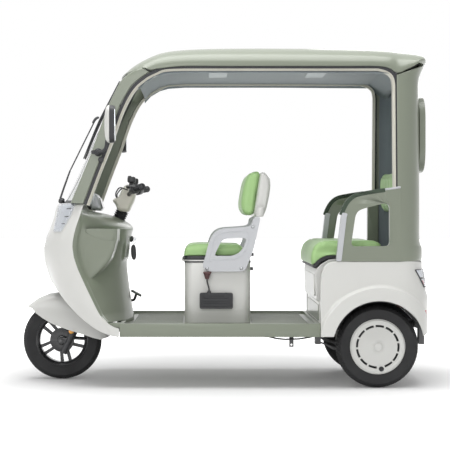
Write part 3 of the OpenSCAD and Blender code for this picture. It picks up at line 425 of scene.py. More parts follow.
def joined(name, made):
    # Several meshes of one finish and body become one piece
    bpy.ops.object.select_all(action="DESELECT")
    for o in made:
        o.select_set(True)
    bpy.context.view_layer.objects.active = made[0]
    bpy.ops.object.join()
    made[0].name = name
    return made[0]


def sideY(z):
    # The cab's half width at a height: constant below the waist, leaning in above it
    rise = np.maximum(0, (np.asarray(z, float) - cab["waist"]) / (1600 - cab["waist"]))
    return cab["halfWidth"] - cab["lean"] * rise ** 1.4


def axisX(z):
    # X of the steering axis at a height
    return cab["steerX"] + (cab["steerZ"] - z) * math.tan(math.radians(cab["rake"]))


# The nose
nose = {
    "rows": [[822, 915, 676, 914, 402, 1], [850, 907, 690, 909, 428, 1], [864, 850, 706, 862, 436, 1],
             [880, 804, 725, 806, 442, 1], [898, 760, 738, 755, 446, 1], [915, 705, 744, 705, 449, 1],
             [918, 665, 736, 650, 450, 1.1], [914, 628, 716, 590, 451, 1.3], [907, 598, 688, 528, 451, 1.5],
             [901, 578, 654, 456, 451, 1.7], [895, 561, 608, 366, 451, 2.0], [889, 545, 520, 258, 450, 2.6]],
    "thickness": 4, "down": 96, "across": 121, "foldDepth": 4.0,
}


def nosePoint(rows, angle):
    # Across, each row is a superellipse quarter on each side of the middle: angle 0
    # is the left edge, 180 the right
    r = np.asarray(rows, float)[:, None, :]
    s, c = np.sin(angle)[None], np.cos(angle)[None]
    share = s**1.2
    return np.stack([lerp(r[..., 2], r[..., 0], share), r[..., 4] * signedPower(c, 0.5),
                     lerp(r[..., 3], r[..., 1], s ** (0.8 * r[..., 5]))], -1)


def noseGrid(first, last, down, angles):
    # Part of the nose between two row numbers, down its height and across at the given angles
    rows = through(nose["rows"], 1101)
    at = np.linspace(first, last, down) * 100
    rows = np.stack([np.interp(at, np.arange(1101), rows[:, k]) for k in range(6)], 1)
    return nosePoint(rows, angles)


def buildNose():
    middle = nose["rows"][5]
    angles = evenly(lambda a: nosePoint([middle], a)[0], 0, np.pi, nose["across"])
    g = noseGrid(0, 11, nose["down"], angles)[:, ::-1]
    # A fold runs down each side of a slightly raised middle panel, and a shallow line frames the cowl
    height = np.linspace(0, 11, nose["down"])[:, None]
    half = lerp(330, 250, smoothStep(height, 4.5, 11))
    raised = smoothStep(half + 9 - np.abs(g[..., 1]), 0, 18) * smoothStep(height, 4.3, 5.4)
    g = g - (nose["foldDepth"] * (1 - raised) * smoothStep(height, 4.3, 5.4))[..., None] * gridNormals(g)
    shell("noseSkin", g, nose["thickness"], "white", stands=["nose_shell"])


# Headlamps: the patch's rows on the nose, the degrees of its outer and inner edges at its top and at its
# foot, and how far its cover stands proud
lamps = {"first": 0.75, "last": 3.6, "outer": [20, 31], "inner": [60, 47], "proud": 12, "slots": 3,
         "firstSlot": 7, "slotPitch": 8}


def buildHeadlamps():
    # Each lamp is a patch of the nose's own surface: a bright tray with dark slots near its rear edge and a
    # clear cover over it. The patch narrows to its foot
    covers, trays, dark = [], [], []
    for side in (1, -1):
        down, across = 34, 40
        rows = []
        for v in np.linspace(lamps["first"], lamps["last"], down):
            share = (v - lamps["first"]) / (lamps["last"] - lamps["first"])
            angles = np.linspace(lerp(*lamps["outer"], share**2), lerp(*lamps["inner"], share**1.5), across)
            rows.append(noseGrid(v, v, 1, np.radians(angles))[0])
        g = np.stack(rows)
        if side < 0:
            g = g * [1, -1, 1]
        g = facing(g, (1, 0, 0))
        normals = gridNormals(g)
        u, v = np.meshgrid(np.linspace(-1, 1, across), np.linspace(-1, 1, down))
        crown = (1 - np.abs(u) ** 5) * (1 - np.abs(v) ** 5)
        trays.append(shell(f"lampTray{side}", g + 1.0 * normals, 2.5, "tray"))
        covers.append(shell(f"lampCover{side}", g + (4 + (lamps["proud"] - 4) * crown)[..., None] * normals,
                            1.5, "lamp"))
        rear = slice(4, 15) if g[9, 0, 0] < g[9, -1, 0] else slice(-15, -4)
        for k in range(lamps["slots"]):
            rowsHere = slice(lamps["firstSlot"] + k * lamps["slotPitch"],
                             lamps["firstSlot"] + 2 + k * lamps["slotPitch"])
            dark.append(shell(f"lampSlot{side}{k}", g[rowsHere, rear] + 2.2 * normals[rowsHere, rear], 2,
                              "black_plastic"))
        edge = np.concatenate([g[0, :], g[1:, -1], g[-1, -2::-1], g[-2:0:-1, 0]])
        up = np.concatenate([normals[0, :], normals[1:, -1], normals[-1, -2::-1], normals[-2:0:-1, 0]])
        trays.append(sectionLoop(f"lampFrame{side}", edge + 2 * up, up,
                                 [[-2, -2.5], [2, -2.5], [2, 2.5], [-2, 2.5]], "tray"))
    joined("lampTrays", trays)
    joined("lampCovers", covers)
    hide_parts("headlamps")
    joined("lampSlots", dark)


def sectionLoop(name, path, up, section, finish, body="chassis", closed=True, stands=()):
    # A flat section of (sideways, outwards) points carried round a path whose outward directions are given
    path, up = np.asarray(path, float), unitRows(np.asarray(up, float))
    if closed:
        along = unitRows(np.roll(path, -1, 0) - np.roll(path, 1, 0))
    else:
        along = unitRows(np.gradient(path, axis=0))
    side = unitRows(np.cross(along, up))
    up = np.cross(side, along)
    s = np.asarray(section, float)
    rings = path[:, None] + s[None, :, :1] * side[:, None] + s[None, :, 1:] * up[:, None]
    return ringBody(name, rings, finish, body, closed=closed, stands=stands, bevel=1.0, angle=40)


# The leg shield, with a pocket at each side of its spine and a band along its edges
shield = {
    "rows": [[462, 324.6, 327.5], [478, 417, 417], [492, 517, 517], [500, 606, 606], [490, 690, 690],
             [476, 755, 755], [471, 796, 804], [520, 833, 836], [600, 862, 860], [700, 880, 874],
             [790, 894, 885]],
    "thickness": 4, "up": 150, "across": 181, "bandProud": 3, "binTop": 787,
    "bin": [[500, 700], [537, 660], [560, 628], [600, 588], [637, 558], [645, 553], [685, 538], [740, 524],
            [788, 521], [2000, 521]],
    "rim": [[0.5, 0.98, 0], [0.8, 0.96, -4], [1.1, 0.94, -26], [1.4, 0.9, -60], [1.7, 0.5, -66],
            [2.0, 0.14, -62], [2.3, 0.06, -30], [2.6, 0.02, -2]],
}


def noseSide(z, column):
    # The nose's side edge at a height: column 2 is its x and column 4 its half width
    rows = np.asarray(nose["rows"], float)[::-1]
    return np.interp(z, rows[:, 3], rows[:, column])


def buildShield():
    # Rows up the shield. The two storage bins are one fold of the same sheet: it comes forward to the driver,
    # turns over the rim, runs down inside and back up the shield. Each row has a depth and a drop for that
    rows = through(shield["rows"], shield["up"])
    top = int(np.searchsorted(rows[:, 1], shield["binTop"]))
    share = 1.0 * (rows[:, 1] < shield["binTop"])
    fold = np.array(shield["rim"])
    turns = np.repeat(rows[top - 1:top], len(fold), 0)
    turns[:, 1:] += fold[:, :1]
    rows = np.concatenate([rows[:top], turns, rows[top:]])
    share = np.concatenate([share[:top], fold[:, 1], share[top:]])[:, None]
    drop = np.concatenate([0 * rows[:top, 0], fold[:, 2], 0 * rows[top + len(fold):, 0]])[:, None]
    front = np.interp(rows[:, 1], *np.array(shield["bin"], float).T)[:, None]
    u = np.linspace(-1, 1, shield["across"])[None]
    mid, midZ, sideZ = (rows[:, k:k + 1] for k in range(3))
    w = noseSide(sideZ, 4) - 4.7 - np.maximum(0, sideZ - 860) / 10
    g = np.stack([lerp(mid, noseSide(sideZ, 2) + 2, np.abs(u) ** 1.8), w * u, lerp(midZ, sideZ, u**2)], -1)
    y, z = np.abs(g[..., 1]), g[..., 2]
    side = 1 - smoothStep(y, 386, 404)
    step = 7 * smoothStep(z, 618, 640) * (1 - smoothStep(z, 650, 760)) * (1 - smoothStep(y, 90, 128))
    band = shield["bandProud"] * smoothStep(np.abs(u), 0.945, 0.96) * np.ones_like(z)
    g = g + (band + step)[..., None] * gridNormals(g)
    front = front + 10 * ((y - 300) / 110) ** 2
    depth = np.maximum(0, g[..., 0] - front)
    g[..., 0] -= side * share * depth
    g[..., 2] += side * drop * smoothStep(depth, 4, 40)
    made = shell("shieldSkin", g, shield["thickness"], "sage", stands=["leg_shield"])
    cut = turned("stemHole", [[0, -90], [32, -90], [32, 130], [0, 130]], [axisX(860), 0, 860],
                 [-math.tan(math.radians(cab["rake"])), 0, 1], "sage")
    carve(made, cut)


def carve(obj, cutter):
    # Takes the cutter's room out of the piece, then the cutter is removed
    made = obj.modifiers.new("hole", "BOOLEAN")
    made.object = cutter
    made.solver = "EXACT"
    bpy.context.view_layer.objects.active = obj
    with bpy.context.temp_override(object=obj, active_object=obj):
        bpy.ops.object.modifier_apply(modifier="hole")
    bpy.data.objects.remove(cutter, do_unlink=True)


# The windscreen and its black band, and the pillars
screen = {
    "rows": [[824, 916, 754], [768, 1027, 700], [704, 1166, 644], [646, 1290, 592], [588, 1406, 540],
             [540, 1500, 494], [516, 1552, 468]],
    "inset": 46.4, "glass": 5,
}


def screenGrid(low, high, up, u, out=0.0):
    rows = through(screen["rows"], 601)
    at = np.linspace(low, high, up) * 100
    r = np.stack([np.interp(at, np.arange(601), rows[:, k]) for k in range(3)], 1)[:, None]
    u = np.asarray(u)[None]
    g = np.stack([lerp(r[..., 0], r[..., 2], u**2), (sideY(r[..., 1]) - screen["inset"]) * u,
                  r[..., 1] + 0 * u], -1)
    return g + out * gridNormals(g)


def buildScreen():
    shell("screenGlass", screenGrid(0, 6, 60, np.linspace(1, -1, 81)), screen["glass"], "glass",
          stands=["windscreen"])
    # A dark rubber runs round the glass, and a cowl vent lies along its foot
    bands = [shell(f"screenBand{k}", screenGrid(0, 6, 60, np.linspace(s, s * 0.93, 5)[::int(s)], 1.0), 7.5,
                   "black_plastic")
             for k, s in enumerate((1, -1))]
    bands.append(shell("screenBandTop", screenGrid(5.75, 6, 4, np.linspace(1, -1, 81), 1.0), 7.5,
                       "black_plastic"))
    bands.append(shell("screenBandFoot", screenGrid(0, 0.22, 4, np.linspace(1, -1, 81), 1.0), 7.5,
                       "black_plastic"))
    joined("screenBands", bands)


pillar = {
    "rows": [[756, 918, 678, 914.8], [711, 1027, 639, 1020], [655, 1166, 587, 1158], [612, 1290, 541, 1282],
             [569, 1406, 501, 1396], [534, 1480, 464, 1462], [508, 1525, 442, 1497], [462, 1564, 405, 1528],
             [404, 1588, 358, 1562]],
    "depth": 46, "rabbet": 14, "rabbetDepth": 9,
}


def buildPillars():
    # Each pillar is a closed ring carried up its two edge lines. A rabbet along the
    # rear edge holds the black strip that paints the shade of the gap
    r = through(pillar["rows"], 90)
    y = sideY(r[:, 1])
    d = pillar["depth"] * np.where(r[:, 1] > 1570, 0.4, lerp(1, 0.4, smoothStep(r[:, 1], 1480, 1575)))
    width = np.hypot(r[:, 0] - r[:, 2], r[:, 1] - r[:, 3])
    e = pillar["rabbet"] / width
    k = pillar["rabbetDepth"]
    section = [(0 * e, k + 0 * d), (0 * e, d), (0 * e + 0.75, d), (0 * e + 1, d), (0 * e + 1, 0.55 * d),
               (0 * e + 0.985, 0.28 * d), (0 * e + 0.95, 0.1 * d), (0 * e + 0.88, 0 * d), (e + 0.02, 0 * d),
               (e, 1.5 + 0 * d), (e, k + 0 * d)]
    for side in (1, -1):
        ring = np.stack([np.stack([lerp(r[:, 2], r[:, 0], c), side * (y - v), lerp(r[:, 3], r[:, 1], c)], 1)
                         for c, v in section], 1)
        made = ringBody(f"pillar{side}", ring, "sage", bevel=1.6, angle=28, segments=3)
        if side == 1:
            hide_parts("pillars")


buildNose()
buildHeadlamps()
buildShield()
buildScreen()
buildPillars()
print("front of the cab built")


# The roof
roof = {
    "rows": [[526, 400, 156, 1593, 404], [470, 385, 106, 1586, 406], [400, 362, 62, 1578, 408],
             [306, 318, 24, 1585, 409], [190, 200, 8, 1597, 409], [0, 0, 1, 1597, 409],
             [-280, -280, 0, 1597, 409], [-560, -560, 3, 1597, 409], [-800, -790, 10, 1595, 408],
             [-905, -862, 18, 1564, 405], [-980, -916, 28, 1584, 400], [-1024, -958, 42, 1606, 392],
             [-1043, -976, 66, 1620, 382], [-1034, -972, 96, 1618, 376], [-1014, -958, 98, 1615, 366]],
    "thickness": 6, "along": 190, "across": 131,
}


def roofPoint(rows, angle):
    # Across, y is the cosine's signed power and the height its sine's power, so the
    # roof is flat with rounded sides
    r = np.asarray(rows, float)[:, None, :]
    u = signedPower(np.cos(angle), 0.7)[None]
    s = (np.maximum(0, np.sin(angle)) ** 0.85)[None]
    return np.stack([lerp(r[..., 0], r[..., 1], 0.35 * u**2 + 0.65 * u**8), r[..., 4] * u,
                     lerp(r[..., 3], cab["crown"] - r[..., 2], s)], -1)


def buildRoof():
    angles = evenly(lambda a: roofPoint([roof["rows"][6]], a)[0], 0, np.pi, roof["across"])
    g = roofPoint(through(roof["rows"], roof["along"]), angles)
    # Two shallow swages run along the top, and the rim stands a little proud over the openings
    x, y, z = g[..., 0], np.abs(g[..., 1]), g[..., 2]
    ridge = 5 * np.exp(-((y - 235) / 20) ** 2)
    swage = ridge * smoothStep(x, -900, -760) * (1 - smoothStep(x, 160, 330)) * (z > 1670)
    g = g - swage[..., None] * gridNormals(g)
    shell("roofSkin", g, roof["thickness"], "sage", stands=["roof_panel"])


lining = {"gap": 15, "rows": [1.7, 9.3], "rise": 30, "lamps": [22, -487], "lampHalf": [48, 120]}


def buildLining():
    # The ceiling is an arch between the two openings' trims: flat across, and down to them in a short curve
    rows = through(roof["rows"], 1401)
    at = np.linspace(*lining["rows"], 110) * 100
    r = np.stack([np.interp(at, np.arange(1401), rows[:, k]) for k in range(5)], 1)[:, None]
    u = np.sin(np.linspace(-1, 1, 91) * np.pi / 2)[None]
    low = np.interp(r[..., 0], [-905, -860, -820, -300, 200, 291, 340, 390, 450, 500],
                    [1500, 1534, 1562, 1566, 1566, 1560, 1546, 1516, 1450, 1380])
    high = np.minimum(cab["crown"] - r[..., 2] - lining["gap"] - 6, low + lining["rise"])
    g = np.stack([r[..., 0] + 0 * u, 394 * u + 0 * low, lerp(low, high, (1 - np.abs(u) ** 7) ** 0.6)], -1)
    g = facing(g, (0, 0, 1))
    shell("ceiling", g, 4, "liner", stands=["roof_liner"])
    for k, x in enumerate(lining["lamps"]):
        w, d = lining["lampHalf"]
        lid = softOutline([[x - w, 40 - d], [x + w, 40 - d], [x + w, 40 + d], [x - w, 40 + d]], 16)
        slab(f"ceilingLamp{k}", lid, 1589, 1600, "panelLamp", axis=2, bevel=4)


buildRoof()
buildLining()
print("roof built")


# The rear wall with its window and the raised surround
wall = {
    "rows": [[630.5, 630.5, -1], [640, 640, 12], [696, 696, 12], [736, 736, 0], [900, 900, 0],
             [1105, 1105, 0], [1270, 1270, 0], [1430, 1430, 0], [1500, 1530, 2], [1530, 1578, 13],
             [1555, 1614, 30]],
    "thickness": 6, "window": [268, 1105, 1430, 70], "up": 140, "across": 161, "frame": [-1020, -990, 30, 90],
}


def wallPoint(angle, z, depth, half):
    # In plan a superellipse quarter on each side of the middle
    return np.stack([cab["wallX"] - depth * np.abs(np.sin(angle)) ** 0.8,
                     half * signedPower(np.cos(angle), 0.4), z], -1)


def wallGrid(low, high, up, angles):
    rows = through(wall["rows"], 1001)
    at = np.linspace(low, high, up) * 100
    r = np.stack([np.interp(at, np.arange(1001), rows[:, k]) for k in range(3)], 1)[:, None]
    s = np.sin(angles)[None]
    z = lerp(r[..., 0], r[..., 1], np.maximum(0, s) ** 0.9)
    return wallPoint(angles[None] + 0 * z, z, cab["wallDepth"] + r[..., 2] + 0 * z, sideY(r[..., 0]) + 0 * z)


def roundBox(y, z, half, low, high, radius):
    # Distance outside a rounded rectangle in y and z, negative inside it
    qy = np.abs(y) - half + radius
    qz = np.abs(z - (low + high) / 2) - (high - low) / 2 + radius
    return np.hypot(np.maximum(qy, 0), np.maximum(qz, 0)) + np.minimum(np.maximum(qy, qz), 0) - radius


def buildWall():
    half, low, high, radius = wall["window"]
    angles = evenly(lambda a: wallPoint(a, 0 * a + 900, cab["wallDepth"], 443), 0, np.pi, wall["across"])
    g = facing(wallGrid(0, 10, wall["up"], angles), (-1, 0, 0))
    made = shell("wallSkin", g, wall["thickness"], "sage", stands=["rear_wall"])
    outline = softOutline([[-half, low], [half, low], [half, high], [-half, high]], radius * 1.5, 12)
    cut = slab("windowCut", outline, -1150, -950, "sage", axis=0, bevel=0)
    carve(made, cut)
    inner = wallGrid(0.4, 9.3, 70, np.radians(np.linspace(7, 173, 91)))
    inner = facing(inner, (-1, 0, 0))
    inner = shell("wallLining", inner - 9 * gridNormals(inner), 3, "liner")
    grown = softOutline([[-half - 6, low - 6], [half + 6, low - 6], [half + 6, high + 6],
                         [-half - 6, high + 6]], radius * 1.5, 12)
    carve(inner, slab("liningCut", grown, -1150, -900, "sage", axis=0, bevel=0))
    # A frame stands proud round the window. The glass, and the rubber that holds
    # it, follow the wall's own curve
    back, front, width, corner = wall["frame"]
    outer = softOutline([[-half - width, low - width], [half + width, low - width],
                         [half + width, high + width], [-half - width, high + width]], corner * 1.4, 14)
    slab("windowFrame", outer, back, front, "sage", axis=0, windows=[outline], bevel=7, segments=4)

    def wallX(y, z):
        # X of the wall at a point of its outline: the superellipse solved for y
        c = np.clip(np.abs(y) / sideY(z), 0, 1) ** 2.5
        return cab["wallX"] - cab["wallDepth"] * np.maximum(0, 1 - c**2) ** 0.4

    edge = softOutline([[-half + 2, low + 2], [half - 2, low + 2], [half - 2, high - 2],
                        [-half + 2, high - 2]], radius * 1.5, 12)
    centre = np.array([0, (low + high) / 2])
    share = np.linspace(0.0, 1, 24)[:, None, None]
    disc = centre + share * (edge - centre)[None]
    x = wallX(disc[..., 0], disc[..., 1]) + 2
    pane = np.stack([x, disc[..., 0], disc[..., 1]], -1)
    ringBodyOpen("rearGlass", pane, 4, "glass", ["rear_window"])
    rim = softOutline([[-half, low], [half, low], [half, high], [-half, high]], radius * 1.5, 14)
    rim = np.stack([wallX(rim[:, 0], rim[:, 1]), rim[:, 0], rim[:, 1]], 1)
    up = np.stack([-np.ones(len(rim)), 0.25 * rim[:, 1] / half, 0 * rim[:, 0]], 1)
    sectionLoop("windowRubber", rim, up, [[-9, -8], [9, -8], [9, 3], [5, 6], [-5, 6], [-9, 3]],
                "black_plastic")


def ringBodyOpen(name, rings, thickness, finish, stands=()):
    # A pane made of rings round its middle: the innermost ring is one point, and the
    # pane has a thickness towards +x
    n, m = rings.shape[:2]
    front = np.concatenate([rings[:1, 0], rings[1:].reshape(-1, 3)])
    k = len(front)
    back = front + [thickness, 0, 0]
    faces = []
    for j in range(m):
        faces.append([0, 1 + j, 1 + (j + 1) % m])
        faces.append([k, k + 1 + (j + 1) % m, k + 1 + j])
    i, j = np.meshgrid(np.arange(n - 2), np.arange(m), indexing="ij")
    a = 1 + i * m + j
    b = 1 + i * m + (j + 1) % m
    quads = np.stack([a, b, b + m, a + m], -1).reshape(-1, 4)
    faces += quads.tolist() + (quads[:, ::-1] + k).tolist()
    rim = 1 + (n - 2) * m + np.arange(m)
    faces += np.stack([rim, rim + k, np.roll(rim, -1) + k, np.roll(rim, -1)], 1).tolist()
    made = addMesh(name, np.concatenate([front, back]), faces, finish, stands=stands)
    outward(made)
    return made


buildWall()
print("rear wall built")


# The trim round each side opening: a thin cream lip, a black strip beside it that paints the shade of the
# gap, with bolts, and the cream reveal behind it
trim = {
    "path": [[676, 908.5], [617, 1069.5], [558, 1221.5], [505, 1372], [450, 1477], [388, 1535], [336, 1563],
             [291, 1581], [200, 1586], [-300, 1586], [-770, 1586], [-815, 1572], [-843, 1546], [-852, 1505],
             [-852, 1200], [-852, 1080], [-852, 984]],
    # channel is the width of the black strip of painted shade
    "inset": 10, "lip": 4, "channel": 15,
    "bolts": [[684, 928], [590, 1166], [507, 1398], [338, 1576], [312, 1586], [188, 1598], [-46, 1598],
              [-280, 1598], [-512, 1598], [-705, 1598], [-832, 1578], [-856, 1560], [-863, 1392],
              [-863, 1206], [-863, 1042]],
}


def trimPath(step=14):
    p = np.asarray(trim["path"], float)
    fine = np.concatenate([through(p[:9], 240)[:-1], np.linspace(p[8], p[10], 60)[:-1],
                           through(p[10:14], 90)[:-1], np.linspace(p[13], p[16], 50)])
    along = np.concatenate([[0], np.cumsum(np.linalg.norm(np.diff(fine, axis=0), axis=1))])
    at = np.linspace(0, along[-1], int(along[-1] / step))
    return np.stack([np.interp(at, along, fine[:, k]) for k in (0, 1)], 1)


def trimBody(name, side, section, finish, bevel=1.2, stands=()):
    # A section of (towards the opening, inwards from the cab's side) points, carried round the path
    p = trimPath()
    d = unitRows(np.gradient(p, axis=0))
    inward = np.stack([-d[:, 1], d[:, 0]], 1)
    if (inward[len(p) // 2] * [0, -1]).sum() < 0:
        inward = -inward
    y = sideY(p[:, 1]) - trim["inset"]
    rings = np.stack([np.stack([p[:, 0] + a * inward[:, 0], side * (y - b), p[:, 1] + a * inward[:, 1]], 1)
                      for a, b in section], 1)
    return ringBody(name, rings, finish, bevel=bevel, angle=40, segments=3, stands=stands)


def bolt(name, place, axis, radius=4.5, height=3.0, finish="black_metal"):
    # A domed head with a socket, on a washer
    profile = [[0, -1], [radius * 1.5, -1], [radius * 1.5, 0.5], [radius, 0.7], [radius, height * 0.7],
               [radius * 0.75, height], [radius * 0.45, height], [radius * 0.42, height * 0.55],
               [0, height * 0.55]]
    return turned(name, profile, place, axis, finish, steps=20)


def buildTrims():
    lips, channels, bolts = [], [], []
    w, c = trim["lip"], trim["channel"]
    for side in (1, -1):
        lips.append(trimBody(f"trimLip{side}", side, [[0, -2], [w, -2], [w, 6], [11, 9], [13, 44], [-2, 44],
                                                      [-2, 40], [9, 40], [8, 11], [0, 8]], "cream"))
        # A black strip of painted shade for the gap between lip and pillar
        channels.append(trimBody(f"trimShadeStrip{side}", side, [[-c, -2.6], [1, -2.6], [1, 4], [-c, 4]],
                                 "black_plastic"))
        for k, (x, z) in enumerate(trim["bolts"]):
            bolts.append(bolt(f"trimBolt{side}{k}", [x, side * (sideY(z) - trim["inset"] + 2.4), z],
                              [0, side, 0]))
    joined("openingTrims", lips)
    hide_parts("opening_trims")
    joined("trimShadeStrips", channels)
    joined("trimBolts", bolts)


# The lower rear body: sides with their flared arches, the tail panel and its lamps
low = {
    "side": [[14, -478.5, 260], [24, -478.5, 330], [34, -478.5, 400], [46, -478.5, 480], [57, -482.5, 560],
             [66, -504, 614], [72, -548, 630], [82, -640, 630], [92, -750, 630], [103, -850, 630],
             [114, -940, 630], [122, -990, 618], [132, -997, 560], [145, -1016, 460], [157, -1018, 360],
             [166, -1010, 268]],
    "depth": [[250, 182], [440, 182], [500, 170], [560, 158], [600, 151], [640, 150]],
    "edge": [[268, -1010], [360, -1018], [460, -1016], [560, -997], [618, -990], [630, -988]],
    "columns": 170, "reach": 75, "lipIn": 12, "flange": 44,
    "lamp": [500, 588, 30, 60], "reflector": [346, 386, 36, 52],
}


def lowDepth(z):
    return np.interp(z, *np.array(low["depth"], float).T)


def lowY(x, z):
    # Half width of the lower body in plan: the superellipse solved for x
    share = np.maximum(0, cab["wallX"] - x) / lowDepth(z)
    return cab["halfWidth"] * np.maximum(0.02, 1 - share**2.5) ** 0.2


def buildRearSides():
    c = through(low["side"], low["columns"])
    v = np.concatenate([np.linspace(0.0, 0.34, 34), np.linspace(0.36, 1, 22)])[:, None, None]
    a = np.radians(c[:, 0])
    start = np.stack([cab["rearAxle"] + cab["archRadius"] * np.cos(a),
                      cab["tyre"] + cab["archRadius"] * np.sin(a)], 1)[None]
    p = start + v * (c[None, :, 1:] - start)
    d = np.linalg.norm(p - start, axis=-1)
    fall = 1 - smoothStep(d, low["reach"] - 10, low["reach"] + 4)
    bump = cab["flare"] * fall * (1 - 0.12 * np.minimum(d / low["reach"], 1) ** 2)
    y = np.minimum(lowY(p[..., 0], p[..., 1]) + bump, cab["halfWidth"] + cab["flare"])
    y[0] -= 2.5
    body = np.stack([p[..., 0], y, p[..., 1]], -1)
    lip = np.stack([body[0] - [0, low["lipIn"], 0], body[0] - [0, 5, 0]])
    turn = np.where(c[:, 1] > -970, low["flange"], 8)[None, :, None]
    rim = np.stack([body[-1] - [0, 3, 0], body[-1] - (turn * [0, 1, 0])[0]])
    body[-1] -= (body[-1] - body[-2]) * 0.25
    g = np.concatenate([lip, body, rim])
    made = [shell("rearSideLeft", facing(g, (0, 1, 0)), 4, "white"),
            shell("rearSideRight", facing(g * [1, -1, 1], (0, -1, 0)), 4, "white")]
    joined("rearSides", made)
    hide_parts("rear_sides")


def buildTail():
    z = np.concatenate([np.linspace(268, 624, 74), [628, 630, 630.6, 631]])
    turnIn = np.concatenate([np.zeros(74), [1.2, 4, 12, 40]])[:, None]
    half = (lowY(np.interp(z, *np.array(low["edge"], float).T), z) - 7)[:, None]
    y = half * np.linspace(-1, 1, 121)[None]
    x = cab["wallX"] - lowDepth(z)[:, None] * (1 - (np.abs(y) / cab["halfWidth"]) ** 5) ** 0.4 + turnIn
    zz = z[:, None] + 0 * y
    # A shallow field for the number plate, framed by a soft step, and a swage under the lamps
    field = roundBox(y, zz, 170, 330, 450, 22)
    x = x + 5 * (1 - smoothStep(field, -9, 0)) + 3 * np.exp(-((zz - 478) / 6) ** 2)
    shell("tailPanel", facing(np.stack([x, y, zz], -1), (-1, 0, 0)), 4, "white", stands=["tail_panel"])


def lowPatch(box, out, up=22, across=30, squeeze=0.0):
    # A patch of the lower body's corner: two heights and two angles in plan.
    # Squeeze narrows it towards its foot
    z0, z1, a0, a1 = box
    share = np.linspace(0, 1, up)[:, None]
    a = np.radians(lerp(a0, a1, 1 - (1 - np.linspace(0, 1, across)[None]) * (1 - squeeze * (1 - share))))
    z = lerp(z0, z1, share) + 0 * a
    g = np.stack([cab["wallX"] - lowDepth(z) * np.sin(a) ** 0.8, cab["halfWidth"] * np.cos(a) ** 0.4, z], -1)
    g = facing(g, (-1, 1, 0))
    return g + out * gridNormals(g)


def buildTailLamps():
    lenses, trays, frames, reds = [], [], [], []
    for side in (1, -1):
        flip = np.array([1, side, 1])
        g = facing(lowPatch(low["lamp"], 1, squeeze=0.72) * flip, (-1, side, 0))
        normals = gridNormals(g)
        n, m = g.shape[:2]
        u, v = np.meshgrid(np.linspace(-1, 1, m), np.linspace(-1, 1, n))
        crown = ((1 - np.abs(u) ** 6) * (1 - np.abs(v) ** 6))[..., None]
        trays.append(shell(f"tailTray{side}", g + 1.0 * normals, 2, "tray"))
        lenses.append(shell(f"tailLens{side}", g + (3 + 7 * crown) * normals, 1.5, "lamp"))
        reds.append(shell(f"tailRed{side}", g[3:9, 4:-4] + 3.5 * normals[3:9, 4:-4], 2, "red"))
        frames.append(shell(f"tailBar{side}", g[10:13, 3:-3] + 3.5 * normals[10:13, 3:-3], 2,
                            "black_plastic"))
        edge = np.concatenate([g[0, :], g[1:, -1], g[-1, -2::-1], g[-2:0:-1, 0]])
        up = np.concatenate([normals[0, :], normals[1:, -1], normals[-1, -2::-1], normals[-2:0:-1, 0]])
        frames.append(sectionLoop(f"tailFrame{side}", edge + 2.5 * up, up,
                                  [[-1.6, -4], [1.6, -4], [1.6, 2], [-1.6, 2]], "black_plastic"))
        r = facing(lowPatch(low["reflector"], 2, 10, 14) * flip, (-1, side, 0))
        reds.append(shell(f"reflector{side}", r + 3 * gridNormals(r), 4, "red"))
    joined("tailTrays", trays)
    joined("tailLenses", lenses)
    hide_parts("tail_lamps")
    joined("tailFrames", frames)
    joined("tailReds", reds)


# Linings of the rear arches stop above the body's lower edge
arch = {"inset": 5, "width": 150, "from": 20, "to": 146, "thickness": 3}


def buildArchLiners():
    made = []
    a = np.radians(np.linspace(arch["from"], arch["to"], 90))
    r = cab["archRadius"] - arch["inset"]
    for side in (1, -1):
        y = side * (cab["halfWidth"] - np.linspace(-12, arch["width"], 14))
        g = np.stack([cab["rearAxle"] + r * np.cos(a)[:, None] + 0 * y, y + 0 * a[:, None],
                      cab["tyre"] + r * np.sin(a)[:, None] + 0 * y], -1)
        made.append(shell(f"archLiner{side}", facing(g, (0, 0, -1)), arch["thickness"], "black_plastic"))
        wallArc = np.radians(np.linspace(34, 146, 60))
        plate = np.stack([cab["rearAxle"] + (r - 1) * np.cos(wallArc),
                          cab["tyre"] + (r - 1) * np.sin(wallArc)], 1)
        made.append(slab(f"archWall{side}", plate, min(side * 296, side * 300), max(side * 296, side * 300),
                         "black_plastic", bevel=0))
    joined("archLiners", made)
    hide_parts("arch_liners")


buildTrims()
buildRearSides()
buildTail()
buildTailLamps()
buildArchLiners()
print("lower body and trims built")


# Tyres: a carcass with rings on its sidewalls and a tread of blocks. Rear covers and front wheel details
wheels = {
    "arcRadius": 41, "halfWidth": 40, "bead": 137.6, "steps": 480, "blocks": 60, "depth": 4.0, "groove": 2.6,
    "valveAngle": -99, "valveRadius": 111,
}


